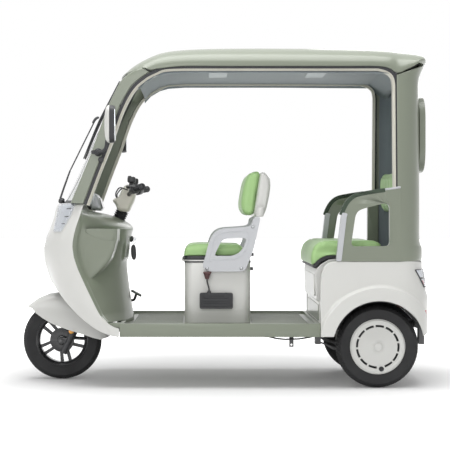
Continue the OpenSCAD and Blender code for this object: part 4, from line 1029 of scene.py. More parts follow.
def buildTyre(name, x, y, body, node):
    # Across: the outer half section is an arc between the beads, closed inside. Round: the
    # tread's grooves are pressed in where a saw wave along the turn, slanted by the distance from
    # the middle, falls under its gap
    outer = np.radians(np.linspace(-62, 62, 61))
    r = cab["tyre"] - wheels["arcRadius"] + wheels["arcRadius"] * np.cos(outer)
    z = wheels["halfWidth"] * np.sin(outer) / math.sin(math.radians(62))
    wall = (np.abs(z) > 33)
    raised = 0.9 * np.exp(-((np.abs(r - 178)) / 1.6) ** 2) + 0.7 * np.exp(-((r - 170) / 1.2) ** 2)
    r = r + np.where(wall, raised, 0)
    inner = np.array([[wheels["bead"], 34], [wheels["bead"] - 0.3, 30], [133, 29.4], [133, 24], [148, 22],
                      [196, 20], [196, -20], [148, -22], [133, -24], [133, -29.4],
                      [wheels["bead"] - 0.3, -30], [wheels["bead"], -34]])
    profile = np.concatenate([np.stack([r, z], 1), inner])
    turn = 2 * np.pi * np.arange(wheels["steps"]) / wheels["steps"]
    rr = np.tile(profile[:, 0], (len(turn), 1))
    zz = np.tile(profile[:, 1], (len(turn), 1))
    k = len(outer)
    zo, ro = zz[:, :k], rr[:, :k]
    wave = (turn[:, None] * wheels["blocks"] / (2 * np.pi) + np.abs(zo) * 0.028) % 1
    lateral = (np.minimum(wave, 1 - wave) < 0.13) & (np.abs(zo) > 10) & (np.abs(zo) < 39.4)
    sipe = (np.minimum((wave + 0.5) % 1, 1 - (wave + 0.5) % 1) < 0.06) & (np.abs(zo) > 24) & (np.abs(zo) < 35)
    middle = np.abs(np.abs(zo) - 10 - 2.2 * np.sin(turn[:, None] * wheels["blocks"])) < wheels["groove"] / 2
    tread = np.abs(zo) < 39.4
    press = wheels["depth"] * ((lateral | middle) & tread) + 1.8 * sipe
    rr[:, :k] = ro - press
    rings = np.stack([x + rr * np.cos(turn)[:, None], y + zz, cab["tyre"] + rr * np.sin(turn)[:, None]], -1)
    made = ringBody(name, rings, "tyre", body, closed=True, stands=[node])
    split = made.modifiers.new("creases", "EDGE_SPLIT")
    split.split_angle = math.radians(34)


def wheelDetails():
    for side, body in ((1, "rear_wheel_left"), (-1, "rear_wheel_right")):
        out = np.array([0, side, 0])
        centre = np.array([cab["rearAxle"], side * cab["track"], cab["tyre"]])
        # A dark disc stands close behind the cover as painted shade, so that its slots read black
        turned(f"coverShadeDisc{side}", [[60, 20], [114, 20], [114, 23], [60, 23]], centre, out, "black_plastic",
               body)
        turned(f"coverRing{side}", [[126, 36], [131.5, 37], [132.5, 39.5], [131, 41.2], [128, 41],
                                    [126, 38]], centre, out, "white", body, steps=128)
        turned(f"coverCap{side}", [[0, 46], [20, 46], [21, 47.2], [20, 49], [18, 49.6], [16.5, 48.6],
                                   [0, 48.4]], centre, out, "white", body, steps=64)
        a = math.radians(wheels["valveAngle"])
        foot = centre + [wheels["valveRadius"] * math.cos(a), 0, wheels["valveRadius"] * math.sin(a)]
        tube(f"rearValve{side}", [foot + out * 22, foot + out * 36, foot + out * 46], 4, "black_plastic",
             body, sides=16, step=3)
        turned(f"valveWell{side}", [[0, 39.4], [11, 39.4], [12.5, 41.6], [11.5, 42.6], [10, 41.8],
                                    [8.5, 40.6], [0, 40.4]],
               foot * [1, 0, 1] + [0, centre[1], 0], out, "black_plastic", body, steps=40)
    front = np.array([cab["frontAxle"], 0, cab["tyre"]])
    for side in (1, -1):
        out = np.array([0, side, 0])
        turned(f"frontHub{side}", [[9, 35], [22, 35], [24, 37], [24, 42], [20, 45], [9, 45]], front, out,
               "alloy_black", "front_wheel", steps=64)
        turned(f"axleNut{side}", [[0, 84], [11, 84], [12.5, 86], [12.5, 95], [10, 98], [0, 98]], front, out,
               "black_metal", "steering", steps=6)
    turned("brakeDrum", [[24, 20], [60, 20], [64, 23], [64, 27], [58, 29], [54, 34], [46, 36], [24, 36]],
           front, [0, 1, 0], "grey_metal", "front_wheel", steps=96)
    a = math.radians(176)
    stem = front + [104 * math.cos(a), 6, 104 * math.sin(a)]
    tube("frontValve", [stem + [12, 0, 0], stem + [0, 8, 0], stem + [-14, 26, 0]], 3.6, "black_plastic",
         "front_wheel", sides=16, step=3)


for name, x, y, body in (("front_tyre", cab["frontAxle"], 0, "front_wheel"),
                         ("rear_tyre_left", cab["rearAxle"], cab["track"], "rear_wheel_left"),
                         ("rear_tyre_right", cab["rearAxle"], -cab["track"], "rear_wheel_right")):
    buildTyre("tread_" + name, x, y, body, name)
wheelDetails()
print("wheels built")


# Cushions and pads. A rounded block is remeshed and swollen as cloth; seams and
# channels are pressed in after it
def softRings(outline, half, end, steps=9, along=13):
    # An outline in x and z carried across y. Near its ends it shrinks towards
    # its middle along a quarter round
    p = softOutline(outline, 22, 5)
    middle = (p.min(0) + p.max(0)) / 2
    t = np.linspace(0, np.pi / 2, steps)
    rounded = end * (1 - np.sin(t))
    y = np.concatenate([(-half + rounded)[::-1], np.linspace(-half + end, half - end, along)[1:-1],
                        half - rounded])
    inset = end * (1 - np.sqrt(np.maximum(0, 1 - np.clip((np.abs(y) - (half - end)) / end, 0, 1) ** 2)))
    size = (p.max(0) - p.min(0)) / 2
    scale = np.maximum(0.3, 1 - inset[:, None] * 0.8 / size[None])
    rings = middle + (p[None] - middle) * scale[:, None, :]
    return np.stack([rings[..., 0], y[:, None] + 0 * rings[..., 0], rings[..., 1]], -1)


def swell(obj, voxel, cap, floor=None, wall=None):
    # Voxel remesh, cloth with inside pressure and no gravity for 20 frames, and a cap on how far a point may
    # move. Points near the floor, or behind the wall in x, keep their place. One subdivision follows
    made = obj.modifiers.new("voxels", "REMESH")
    made.mode = "VOXEL"
    made.voxel_size = voxel / 1000
    made.use_smooth_shade = True
    bpy.context.view_layer.objects.active = obj
    with bpy.context.temp_override(object=obj, active_object=obj):
        bpy.ops.object.modifier_apply(modifier="voxels")
    count = len(obj.data.vertices)
    start = np.empty(count * 3)
    obj.data.vertices.foreach_get("co", start)
    cloth = obj.modifiers.new("cloth", "CLOTH")
    cloth.settings.use_pressure = True
    cloth.settings.uniform_pressure_force = 4
    cloth.settings.quality = 4
    cloth.settings.effector_weights.gravity = 0
    cloth.point_cache.frame_start, cloth.point_cache.frame_end = 1, 20
    for step in range(1, 21):
        bpy.context.scene.frame_set(step)
    done = obj.evaluated_get(bpy.context.evaluated_depsgraph_get())
    end = np.empty(count * 3)
    done.data.vertices.foreach_get("co", end)
    obj.modifiers.remove(cloth)
    bpy.context.scene.frame_set(1)
    at, move = start.reshape(-1, 3), (end - start).reshape(-1, 3)
    size = np.linalg.norm(move, axis=1, keepdims=True)
    limit = cap / 1000
    move = move * np.minimum(1, limit * np.tanh(size / limit) / np.maximum(size, 1e-9))
    keep = np.ones(count)
    if floor is not None:
        keep = keep * smoothStep(at[:, 2] * 1000, floor, floor + 16)
    if wall is not None:
        keep = keep * smoothStep(at[:, 0] * 1000, wall, wall + 16)
    start = (at + move * keep[:, None]).ravel()
    obj.data.vertices.foreach_set("co", start)
    obj.data.update()
    fine = obj.modifiers.new("smooth", "SUBSURF")
    fine.levels = fine.render_levels = 1
    with bpy.context.temp_override(object=obj, active_object=obj):
        bpy.ops.object.modifier_apply(modifier="smooth")
    return obj


def press(obj, how):
    # Moves every point by a function of its place: the function takes and returns points in millimetres
    count = len(obj.data.vertices)
    p = np.empty(count * 3)
    obj.data.vertices.foreach_get("co", p)
    p = how(p.reshape(-1, 3) * 1000) / 1000
    obj.data.vertices.foreach_set("co", p.ravel())
    obj.data.polygons.foreach_set("use_smooth", np.ones(len(obj.data.polygons), bool))
    obj.data.update()


def channel(distance, width, depth):
    return depth * np.exp(-(distance / width) ** 2)


def outwardStep(p, middle, amount):
    # A move towards a middle point in x and z by an amount
    d = unitRows(p * [1, 0, 1] - np.array(middle) * [1, 0, 1])
    return p - d * amount[:, None]


def cushion(name, outline, half, end, cap, finish, body, node, how, floor=None, wall=None, voxel=6):
    obj = ringBody(name, softRings(outline, half, end), finish, body, stands=[node])
    swell(obj, voxel, cap, floor, wall)
    press(obj, how)
    return obj


driverSeat = {
    "base": 650.9, "half": 256, "end": 26, "cap": 10, "seamHeight": 30,
    "outline": [[-112, 0], [-116, 34], [-100, 50], [-20, 50], [130, 53], [188, 49], [203, 34], [202, 6],
                [196, 0]],
    "back": [[-152, 856], [-136, 852], [-110, 862], [-98, 884], [-98, 925], [-108, 985], [-120, 1040],
             [-138, 1070], [-168, 1084], [-192, 1083], [-186, 1040], [-168, 950]],
    "backHalf": 248, "backEnd": 30, "backCap": 9, "backSeams": [120, 900],
}


def buildDriverSeat():
    z0 = driverSeat["base"]

    def seams(p):
        # A seam runs round the cushion under its top edge
        top = smoothStep(p[:, 2], z0 + 34, z0 + 48)
        near = p[:, 2] - z0 - driverSeat["seamHeight"]
        return outwardStep(p, (40, 0, z0 + 28), channel(near, 2.6, 2.2) * (1 - top))

    outline = np.array(driverSeat["outline"]) + [0, z0]
    cushion("driverCushion", outline, driverSeat["half"], driverSeat["end"], driverSeat["cap"], "seat_green",
            "driver_seat_lid", "driver_cushion", seams, floor=z0)

    def backSeams(p):
        # Two upright lines and a level one on the side that faces the driver
        out, low = driverSeat["backSeams"]
        facet = smoothStep(p[:, 0] + 0.21 * (p[:, 2] - 880), -140, -108)
        lines = channel(p[:, 1] - out, 6, 4) + channel(p[:, 1] + out, 6, 4)
        lines = lines + channel(p[:, 2] - low, 5, 3) * (np.abs(p[:, 1]) < 210)
        return p - np.stack([facet * lines, 0 * lines, 0 * lines], 1)

    cushion("backrestPad", driverSeat["back"], driverSeat["backHalf"], driverSeat["backEnd"],
            driverSeat["backCap"], "seat_green", "chassis", "backrest_pad", backSeams)


bench = {
    "base": 656.9, "rear": -806, "front": -436.3, "half": cab["halfWidth"] - 82, "channels": 9,
    "plate": [[-806, 640.6], [-524, 640.6], [-486, 622], [-462, 592], [-446, 598], [-466, 634],
              [-510, 656.6], [-806, 656.6]],
    "outline": [[-800, 0], [-516, 0], [-474, -20], [-450, -50], [-440, -44], [-437, -10], [-443, 30],
                [-462, 54], [-492, 65], [-776, 64], [-800, 44]],
    "backX": -900, "backRibs": 11,
    "back": [[-10, 872], [4, 878], [18, 900], [22, 1050], [14, 1078], [-6, 1090], [-22, 1082], [-28, 1060],
             [-28, 884]],
    "hinge": [-817, 170, 646],
}


def buildBench():
    z0, x0, x1, half = (bench[k] for k in ("base", "rear", "front", "half"))
    # The base plate and the cushion's underside fall over the rounded front edge of the box
    slab("benchPlate", bench["plate"], -half + 12, half - 12, "black_plastic", "bench_lid", bevel=3,
         stands=["bench_cushion_base"])
    hx, hy, hz = bench["hinge"]
    for side in (1, -1):
        tube(f"benchKnuckle{side}", [[hx, side * hy - 58, hz], [hx, side * hy - 20.5, hz]], 4.5,
             "black_metal", "bench_lid", step=6)

    def seams(p):
        # Channels run from front to back over the top, and one along the front edge
        top = smoothStep(p[:, 2], z0 + 40, z0 + 58)
        pitch = 2 * half / bench["channels"]
        near = np.abs((p[:, 1] / pitch) - np.round(p[:, 1] / pitch)) * pitch
        inside = smoothStep(x1 - 62 - p[:, 0], 0, 14) * smoothStep(p[:, 0] - x0, 26, 44)
        lines = inside * channel(near, 6, 4) + channel(p[:, 0] - (x1 - 60), 5, 3.5)
        p = p - np.stack([0 * top, 0 * top, top * lines], 1)
        return outwardStep(p, ((x0 + x1) / 2, 0, z0 + 30), channel(p[:, 2] - z0 - 26, 2.6, 2.2) * (1 - top))

    cushion("benchCushion", np.array(bench["outline"]) + [0, z0], half - 8, 26, 10, "seat_green", "bench_lid",
            "bench_cushion", seams, floor=z0)
    backHalf = half - 38
    x = bench["backX"]

    def ribs(p):
        # Upright ribs: between them the front is pressed in along lines
        pitch = 2 * backHalf / bench["backRibs"]
        shifted = p[:, 1] / pitch + 0.5
        near = np.abs(shifted - np.round(shifted)) * pitch
        front = smoothStep(p[:, 0], x - 6, x + 12)
        inside = smoothStep(p[:, 2], 884, 904) * (1 - smoothStep(p[:, 2], 1058, 1078))
        p = p - np.stack([front * inside * channel(near, 7, 9), 0 * near, 0 * near], 1)
        return p - np.stack([front * channel(p[:, 2] - 1066, 4, 3), 0 * near, 0 * near], 1)

    cushion("benchBack", np.array(bench["back"]) + [x, 0], backHalf, 22, 8, "seat_green", "chassis",
            "bench_backrest", ribs)


buildDriverSeat()
buildBench()
print("cushions made")


# A strip that closes the shield's foot on the floor, and the wiper
shieldFoot = {"heights": [310.6, 328], "x": [463, 580], "half": 445, "share": 0.44}
wiper = {
    "pivot": [836, 60, 930], "axis": [0.5, 0, 0.87],
    "arm": [[846, 60, 940], [826, 58, 1000], [792, 54, 1096]],
    "rod": [[792, 54, 1094], [726, 34, 1232], [668, 12, 1354]],
    "joint": [[680, 14, 1340], [662, 8, 1366], [646, 4, 1372]],
    "spine": [[539, -7, 1564], [588, -2, 1466], [646, 3, 1350], [690, 12, 1246], [727, 20, 1153]],
    "rubber": [[531, -7, 1562], [580, -2, 1463], [638, 3, 1347], [683, 12, 1243], [719, 20, 1151]],
}


def buildFrontBits():
    share = shieldFoot["share"]
    u = np.linspace(-share, share, 61)[None]
    z = np.linspace(*shieldFoot["heights"], 6)[:, None]
    g = np.stack([lerp(*shieldFoot["x"], np.abs(u) ** 1.8) + 0 * z, shieldFoot["half"] * u + 0 * z,
                  z + 0 * u], -1)
    shell("shieldFoot", facing(g, (-1, 0, 0)), 4, "sage")
    turned("wiperPivot", [[0, -14], [13, -14], [13, -4], [17, -2], [17, 8], [12, 14], [8, 18], [0, 18]],
           wiper["pivot"], wiper["axis"], "black_plastic", steps=36)
    arm = [tube("wiperArm", wiper["arm"], [9, 8.5, 7], "black_metal", sides=16, step=8, flat=0.6),
           tube("wiperRod", wiper["rod"], 3.6, "black_metal", sides=12, step=10),
           tube("wiperJoint", wiper["joint"], [7, 9, 8], "black_plastic", sides=14, step=5, flat=0.8),
           tube("wiperSpine", wiper["spine"], [4, 5.5, 7, 5.5, 4], "black_plastic", sides=14, step=8,
                flat=0.7),
           tube("wiperRubber", wiper["rubber"], 3, "black_plastic", sides=10, step=8, flat=1.6)]
    joined("wiperSet", arm)
    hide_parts("wiper")


# White corner under each end of the nose, down to the sill, and the bench's box with its rounded front
corners = {
    "noseFoot": [[604, 366], [566, 322], [536, 305], [514, 300], [514, 258], [524, 256], [560, 290]],
    "noseFootY": [444, 450.4], "boxHalf": cab["halfWidth"] - 88, "boxWall": 24,
    "box": [[-478.3, 310.3], [-478.3, 424], [-464, 436], [-460, 566], [-466, 592], [-486, 612], [-526, 636],
            [-560, 640], [-926, 640], [-926, 463], [-528.3, 463], [-528.3, 310.3]],
    "hollow": [[-812, 493], [-548, 493], [-548, 700], [-812, 700]],
    "panel": [[-300, 452], [300, 452], [300, 560], [-300, 560]], "panelX": [-462, -457],
    "kick": [[-330, 330], [330, 330], [330, 410], [-330, 410]], "kickX": [-480.5, -475.5],
}


def buildCorners():
    outline = softOutline(corners["noseFoot"], 8, 4)
    for side in (1, -1):
        lo, hi = sorted(side * y for y in corners["noseFootY"])
        slab(f"noseFoot{side}", outline, lo, hi, "white", bevel=1.5)
    half, wall = corners["boxHalf"], corners["boxWall"]
    made = slab("benchBox", corners["box"], -half, half, "white", bevel=4, stands=["bench_base"])
    carve(made, slab("benchHollow", corners["hollow"], -half + wall, half - wall, "white", bevel=0))
    hx, hy, hz = bench["hinge"]
    for side in (1, -1):
        tube(f"benchHinge{side}", [[hx, side * hy - 19, hz], [hx, side * hy + 19, hz]], 4.5, "black_metal",
             step=6)
    # A panel and a kick plate stand on the box's front
    slab("benchPanel", softOutline(corners["panel"], 14), *corners["panelX"], "white", axis=0, bevel=2)
    slab("benchKick", softOutline(corners["kick"], 10), *corners["kickX"], "sage", axis=0, bevel=2)


# Armrests: a sage panel that follows the cab's lean, a silver strip on its front,
# a silver end and a rubber top
armrest = {
    "foot": [-557, 631], "rear": -874, "out": 452, "thick": 32, "endFrom": 33,
    "top": [[-584, 858], [-596, 890], [-618, 926], [-652, 952], [-712, 966], [-790, 978], [-874, 990]],
    "window": [[-628, 716], [-650, 858], [-664, 880], [-694, 892], [-800, 918], [-818, 906], [-818, 716],
               [-806, 706], [-640, 704]],
    "strip": [[-553, 631], [-580, 858], [-586, 872], [-612, 866], [-606, 850], [-580, 631]],
}


def leaning(obj, side):
    # Moves each point sideways by as much as the cab leans in at its height
    press(obj, lambda p: p + np.stack([0 * p[:, 0], side * (sideY(p[:, 2]) - cab["halfWidth"]), 0 * p[:, 0]],
                                      1))
    return obj


def buildArmrests():
    top = through(armrest["top"], 40)
    outline = np.concatenate([[armrest["foot"]], top, [[armrest["rear"], armrest["foot"][1]]]])
    window = softOutline(armrest["window"], 16, 5)
    d = unitRows(np.gradient(top, axis=0))
    up = np.stack([-d[:, 1], d[:, 0]], 1)
    up = up if up[:, 1].mean() > 0 else -up
    k = armrest["endFrom"]
    pad = np.concatenate([top[:k + 1] - 7 * up[:k + 1], (top[:k + 1] + 13 * up[:k + 1])[::-1]])
    end = np.concatenate([top[k:] + 0.5 * up[k:], (top[k:] + 11 * up[k:])[::-1]])
    strip = softOutline(armrest["strip"], 8, 4)
    for side in (1, -1):
        inner, out = armrest["out"] - armrest["thick"], armrest["out"]
        lo, hi = sorted((side * inner, side * out))
        leaning(slab(f"armrest{side}", outline, lo, hi, "sage", windows=[window], bevel=6, segments=4), side)
        lo, hi = sorted((side * (inner - 5), side * (out + 1.5)))
        leaning(slab(f"armPad{side}", pad, lo, hi, "rubber", bevel=5, segments=4), side)
        leaning(slab(f"armStrip{side}", strip, lo, hi + 1, "silver", bevel=3, segments=3), side)
        leaning(slab(f"armEnd{side}", end, lo + 2, hi - 1, "silver", bevel=3, segments=3), side)
    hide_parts("armrests")
    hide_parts("armrest_pads")


# Driver's seat: silver side frames, the backrest's white shell and its brackets
seatFrame = {
    "y": [268.3, 294.3],
    "outline": [[104, 606], [92, 640], [73, 716], [54, 760], [28, 783], [-2, 792], [-112, 799], [-146, 806],
                [-152, 846], [-190, 850], [-172, 766], [-157, 697], [-142, 652], [-113, 582], [-90, 574],
                [60, 574], [92, 584]],
    "window": [[12, 721], [-10, 740], [-90, 745], [-121, 739], [-104, 696], [-78, 666], [-46, 653],
               [44, 653]],
    "rib": [[80, 612], [70, 640], [50, 716], [36, 748], [20, 764], [-4, 772], [-110, 779], [-124, 774],
            [-134, 742], [-118, 690], [-96, 654], [-60, 636], [60, 634]],
    "bolts": [[80, 590], [-92, 590], [-150, 800]], "stops": [[-146, 660], [-143, 588]],
}


def buildSeatFrames():
    outline, window = softOutline(seatFrame["outline"], 16, 5), softOutline(seatFrame["window"], 14, 5)
    made = []
    for side in (1, -1):
        lo, hi = sorted(side * y for y in seatFrame["y"])
        made.append(slab(f"seatFrame{side}", outline, lo, hi, "silver", windows=[window], bevel=8,
                         segments=5))
        at = (seatFrame["y"][1] + 0.5) * side
        path = np.insert(softOutline(seatFrame["rib"], 14, 5), 1, at, axis=1)
        away = np.tile([0, side, 0], (len(path), 1))
        made.append(sectionLoop(f"frameRib{side}", path, away,
                                [[-2.2, -2], [2.2, -2], [1.4, 1.2], [-1.4, 1.2]], "silver"))
        for k, (x, z) in enumerate(seatFrame["bolts"]):
            bolt(f"frameBolt{side}{k}", [x, at, z], [0, side, 0], 5.5, 3.5, "steel")
        for k, (x, z) in enumerate(seatFrame["stops"]):
            stop = softOutline([[x - 9, z - 8], [x + 5, z - 8], [x + 5, z + 8], [x - 9, z + 8]], 4)
            lo, hi = sorted((side * 262, side * 290))
            slab(f"frameStop{side}{k}", stop, lo, hi, "black_plastic", bevel=2)
    joined("seatFrames", made)
    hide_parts("seat_frames")


backShell = {
    "half": 262, "end": 30, "bracketY": [262, 291],
    "outline": [[-154, 848], [-170, 950], [-184, 1040], [-192, 1078], [-214, 1077], [-238, 1054],
                [-243, 1014], [-236, 956], [-222, 890], [-206, 850]],
    "bracket": [[-166, 849.6], [-172, 900], [-212, 900], [-204, 849.6]],
}


def buildBackShell():
    made = [ringBody("backShell", softRings(backShell["outline"], backShell["half"], backShell["end"]),
                     "white")]
    for side in (1, -1):
        lo, hi = sorted(side * y for y in backShell["bracketY"])
        made.append(slab(f"backBracket{side}", softOutline(backShell["bracket"], 8, 4), lo, hi, "white",
                         bevel=4))
    joined("backShell", made)
    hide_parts("backrest_shell")


# Rear wheels: barrel, a cover with twelve slots, the drum behind. Points are radius and distance outwards
rearWheel = {
    "barrel": [[137, 30.3], [137, 33], [132, 35], [124, 30], [116, 24], [116, -24], [124, -30], [132, -35],
               [137, -33], [137, -30.3], [132.7, -29.7], [132.7, -23.7], [120, -20], [120, 20], [132.7, 23.7],
               [132.7, 29.7]],
    "cover": [[0, 38], [28, 38], [30, 34], [92, 31], [124, 27], [128, 35.4], [132, 36], [132.6, 37.8],
              [131, 39.4], [121, 41], [112, 38.6], [104, 37.2], [92, 37.4], [70, 39.4], [40, 42.4],
              [24, 44.6], [22, 46.8], [0, 47.6]],
    "drum": [[8.2, -10], [74, -10], [74, -44], [88, -44], [88, -20], [84, -14], [84, -6], [50, -4], [40, 34],
             [8.2, 34]],
    "slots": 12, "slotRadius": 103, "slotHalf": 5.5, "slotAngle": 23.5, "slotPitch": 28.6, "firstSlot": -87.5,
}


def buildRearRims():
    r, w = rearWheel["slotRadius"], rearWheel["slotHalf"]
    ring = np.array([[r - w, 25], [r + w, 25], [r + w, 46], [r - w, 46]], float)
    for side, body, node in ((1, "rear_wheel_left", "rear_rim_left"),
                             (-1, "rear_wheel_right", "rear_rim_right")):
        out = np.array([0, side, 0])
        centre = np.array([cab["rearAxle"], side * cab["track"], cab["tyre"]])
        made = turned(f"rearCover{side}", rearWheel["cover"], centre, out, "white", body, steps=144)
        cutters = []
        for k in range(rearWheel["slots"]):
            # Slots start beside the valve's gap at the foot and go round
            turn = math.radians(rearWheel["firstSlot"] + rearWheel["slotPitch"] * k)
            turn = turn + np.radians(np.linspace(0, rearWheel["slotAngle"], 10))
            away = np.stack([np.cos(turn), 0 * turn, np.sin(turn)], 1)[:, None]
            rings = centre + ring[None, :, :1] * away + ring[None, :, 1:] * out
            cutters.append(ringBody(f"slotCut{side}{k}", rings, "white"))
        carve(made, joined(f"slotCuts{side}", cutters))
        bar = turned(f"rearBarrel{side}", rearWheel["barrel"], centre, out, "white", body, steps=128)
        rim = joined(f"rearRim{side}", [made, bar])
        roundEdges(rim, 0.8, 2, 40)
        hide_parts(node)
        turned(f"rearDrum{side}", rearWheel["drum"], centre, out, "black_metal", body, steps=96)


# Mirrors: a white shell, a dark rim and the glass, on a bent arm from a foot on the pillar.
# Their rings are given as a step along x from the centre and a share of the outline
mirror = {
    "centre": [566, 518, 1302], "half": [58, 92], "corner": 52, "foot": [618, 1168],
    "back": [[-12, 0.99], [-6, 1.0], [1, 0.96], [7, 0.86], [11, 0.68], [13.5, 0.42], [14.5, 0.1]],
    "rim": [[-36, 0.9], [-34, 0.965], [-24, 0.99], [-11, 1.0], [-10, 0.9]],
    "glass": [[-37.2, 0.86], [-36.6, 0.875], [-33, 0.875]],
}


def roundRect(half, tall, radius, count=12):
    # A rectangle about the origin with rounded corners
    return softOutline([[-half, -tall], [half, -tall], [half, tall], [-half, tall]], radius, count)


def buildMirrors():
    cx, cy, cz = mirror["centre"]
    backs, rims, glasses = [], [], []
    shape = roundRect(*mirror["half"], mirror["corner"], 14)
    fx, fz = mirror["foot"]
    y = sideY(fz)
    for side in (1, -1):
        def rings(table):
            return [np.stack([np.full(len(shape), cx + dx), side * (cy + shape[:, 0] * k),
                              cz + shape[:, 1] * k], 1)
                    for dx, k in table]
        backs.append(ringBody(f"mirrorBack{side}", rings(mirror["back"]), "white"))
        rims.append(ringBody(f"mirrorRim{side}", rings(mirror["rim"]), "black_plastic", bevel=1.5))
        glasses.append(ringBody(f"mirrorGlass{side}", rings(mirror["glass"]), "mirror"))
        rims.append(turned(f"mirrorFoot{side}", [[0, 0.3], [20, 0.3], [20, 4], [15, 9], [11, 16], [0, 18]],
                           [fx, side * y, fz], [0, side, 0], "black_plastic", steps=40))
        arm = [[fx, side * (y + 8), fz], [fx - 12, side * (y + 34), fz + 2],
               [cx + 22, side * (cy - 24), fz + 6], [cx + 10, side * (cy - 12), cz - 112],
               [cx + 4, side * (cy - 8), cz - 74]]
        rims.append(tube(f"mirrorArm{side}", arm, [8, 7, 7, 7, 8], "black_plastic", sides=18, step=6))
        rims.append(turned(f"mirrorKnob{side}", [[0, -3], [13, -3], [14, 0], [14, 7], [11, 11], [0, 11]],
                           [fx - 14, side * (y + 3), fz - 36], [0, side, 0], "black_plastic", steps=32))
        plate = softOutline([[fx - 34, fz - 12], [fx + 34, fz - 8], [fx + 34, fz + 10], [fx - 34, fz + 14]],
                            6)
        lo, hi = sorted((side * (y + 0.3), side * (y + 7)))
        rims.append(slab(f"mirrorPlate{side}", plate, lo, hi, "black_plastic", bevel=2))
    joined("mirrorBacks", backs)
    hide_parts("mirrors")
    joined("mirrorRims", rims)
    joined("mirrorGlasses", glasses)


# Steering column: rounded cover, ribbed boot, grips, switch housings, levers and the two cables
column = {
    "cover": [[488, 872], [478, 902], [462, 930], [448, 988], [470, 1014], [502, 1020], [524, 996],
              [541, 952], [568, 944], [574, 932], [556, 912], [546, 880]],
    "half": 70, "end": 26, "screw": [492, 66, 948], "bootFoot": 842, "bootRadius": 32, "bootPitch": 5.5,
}


def buildColumn():
    ringBody("columnCover", softRings(column["cover"], column["half"], column["end"]), "cream", "steering",
             stands=["column_cover"])
    bolt("coverScrew", column["screw"], [0, 1, 0], 5, 2, "steel")
    tilt = math.radians(cab["rake"])
    foot = np.array([axisX(column["bootFoot"]), 0, column["bootFoot"]])
    # The boot's radius goes up and down as a cosine of the height
    up = np.linspace(0, 8 * column["bootPitch"], 49)
    wall = np.stack([column["bootRadius"] + 3.5 * np.cos(up / column["bootPitch"] * math.pi), up], 1)
    profile = np.concatenate([[[16, 0]], wall, [[16, 8 * column["bootPitch"]]]])
    turned("columnBoot", profile, foot, [-math.sin(tilt), 0, math.cos(tilt)], "black_plastic", "steering",
           steps=64)


handlebar = {
    "inner": [488, 62, 965], "bend": [455, 190, 991], "end": [408, 322, 1001], "bar": 11, "grip": 16.5,
    "gripRings": 14, "buttons": [[-14, 20], [2, 24], [14, 14]],
    "hose": [[528, 120, 1000], [548, 84, 984], [556, 50, 962], [546, 30, 940]],
}


def buildHandlebar():
    made = []
    for side in (1, -1):
        flip = np.array([1, side, 1])
        a, b, c = (np.array(handlebar[k]) * flip for k in ("inner", "bend", "end"))
        made.append(tube(f"bar{side}", [a, a + (b - a) * 0.6, b, b + (c - b) * 0.5, c], handlebar["bar"],
                         "black_metal", "steering", sides=20, step=8))
        # The grip's radius waves along it, with a collar at its start
        steps = np.linspace(0, 1, 60)
        path = b + (c - b) * (0.3 + 0.74 * steps[:, None])
        radius = handlebar["grip"] + 1.3 * np.cos(steps * 2 * np.pi * handlebar["gripRings"])
        radius[:3] = [17, 19, 19]
        radius[-2:] = [18.5, 16]
        made.append(tube(f"grip{side}", path, radius, "black_plastic", "steering", sides=24, step=2.2))
        housing = [[12, -28], [22, -27], [25, -20], [25, 18], [22, 25], [12, 26]]
        made.append(turned(f"switchBox{side}", housing, b + (c - b) * 0.12, unitRows(c - b), "black_plastic",
                           "steering", steps=28))
        clamp = b - (b - a) * 0.3
        made.append(turned(f"leverClamp{side}", [[11.5, -12], [17, -12], [18, 0], [17, 12], [11.5, 12]],
                           clamp, unitRows(b - a), "black_metal", "steering", steps=28))
        lever = [clamp + [18, 0, 14], b + [34, 0, 14], b + (c - b) * 0.45 + [40, 0, 10],
                 b + (c - b) * 0.85 + [34, 0, 4], c + [32, 0, -2]]
        made.append(tube(f"lever{side}", lever, [8, 7, 6, 6, 7.5], "black_metal", "steering", sides=16,
                         step=5, flat=0.62))
        box = roundRect(20, 15, 9, 5) + [468, 1040]
        lo, hi = sorted((side * 138, side * 176))
        made.append(slab(f"reservoir{side}", box, lo, hi, "black_plastic", "steering", bevel=4))
        made.append(tube(f"perch{side}", [clamp, [470, side * 157, 1012], [468, side * 157, 1030]],
                         [13, 12, 11], "black_metal", "steering", sides=18, step=5))
        lo, hi = sorted((side * 142, side * 160))
        made.append(slab(f"knob{side}", roundRect(9, 7, 4, 4) + [478, 1053], lo, hi, "black_plastic",
                         "steering", bevel=3))
        for k, (dx, dz) in enumerate(handlebar["buttons"]):
            made.append(turned(f"button{side}{k}", [[0, 0], [5, 0], [5, 5], [3.5, 6.5], [0, 6.5]],
                               b + (c - b) * (0.06 + 0.05 * k) + [dx, 0, dz - 4],
                               unitRows(np.array([dx, 0, dz], float)), "black_plastic", "steering", steps=20))
        hose = [clamp + [22, 0, 4], *(np.array(handlebar["hose"]) * flip)]
        made.append(tube(f"brakeHose{side}", hose, 3.4, "cable", "steering", sides=12, step=5))
    joined("handlebarSet", made)
    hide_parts("handlebar")


# Instrument pod with its dark display towards the driver
pod = {
    "shell": [[622, 880], [640, 948], [652, 966], [670, 974], [690, 964], [693, 936], [686, 884]],
    "display": [[620.5, 892], [637, 946], [641, 948], [624.5, 892]],
    "back": [[684, 886], [692, 930], [690, 958], [702, 950], [706, 912], [700, 890]],
}


def buildPod():
    ringBody("podShell", softRings(pod["shell"], 88, 30), "silver", stands=["dash_pod"])
    slab("podDisplay", pod["display"], -62, 62, "screen", bevel=1)
    ringBody("podBack", softRings(pod["back"], 74, 14), "black_plastic")


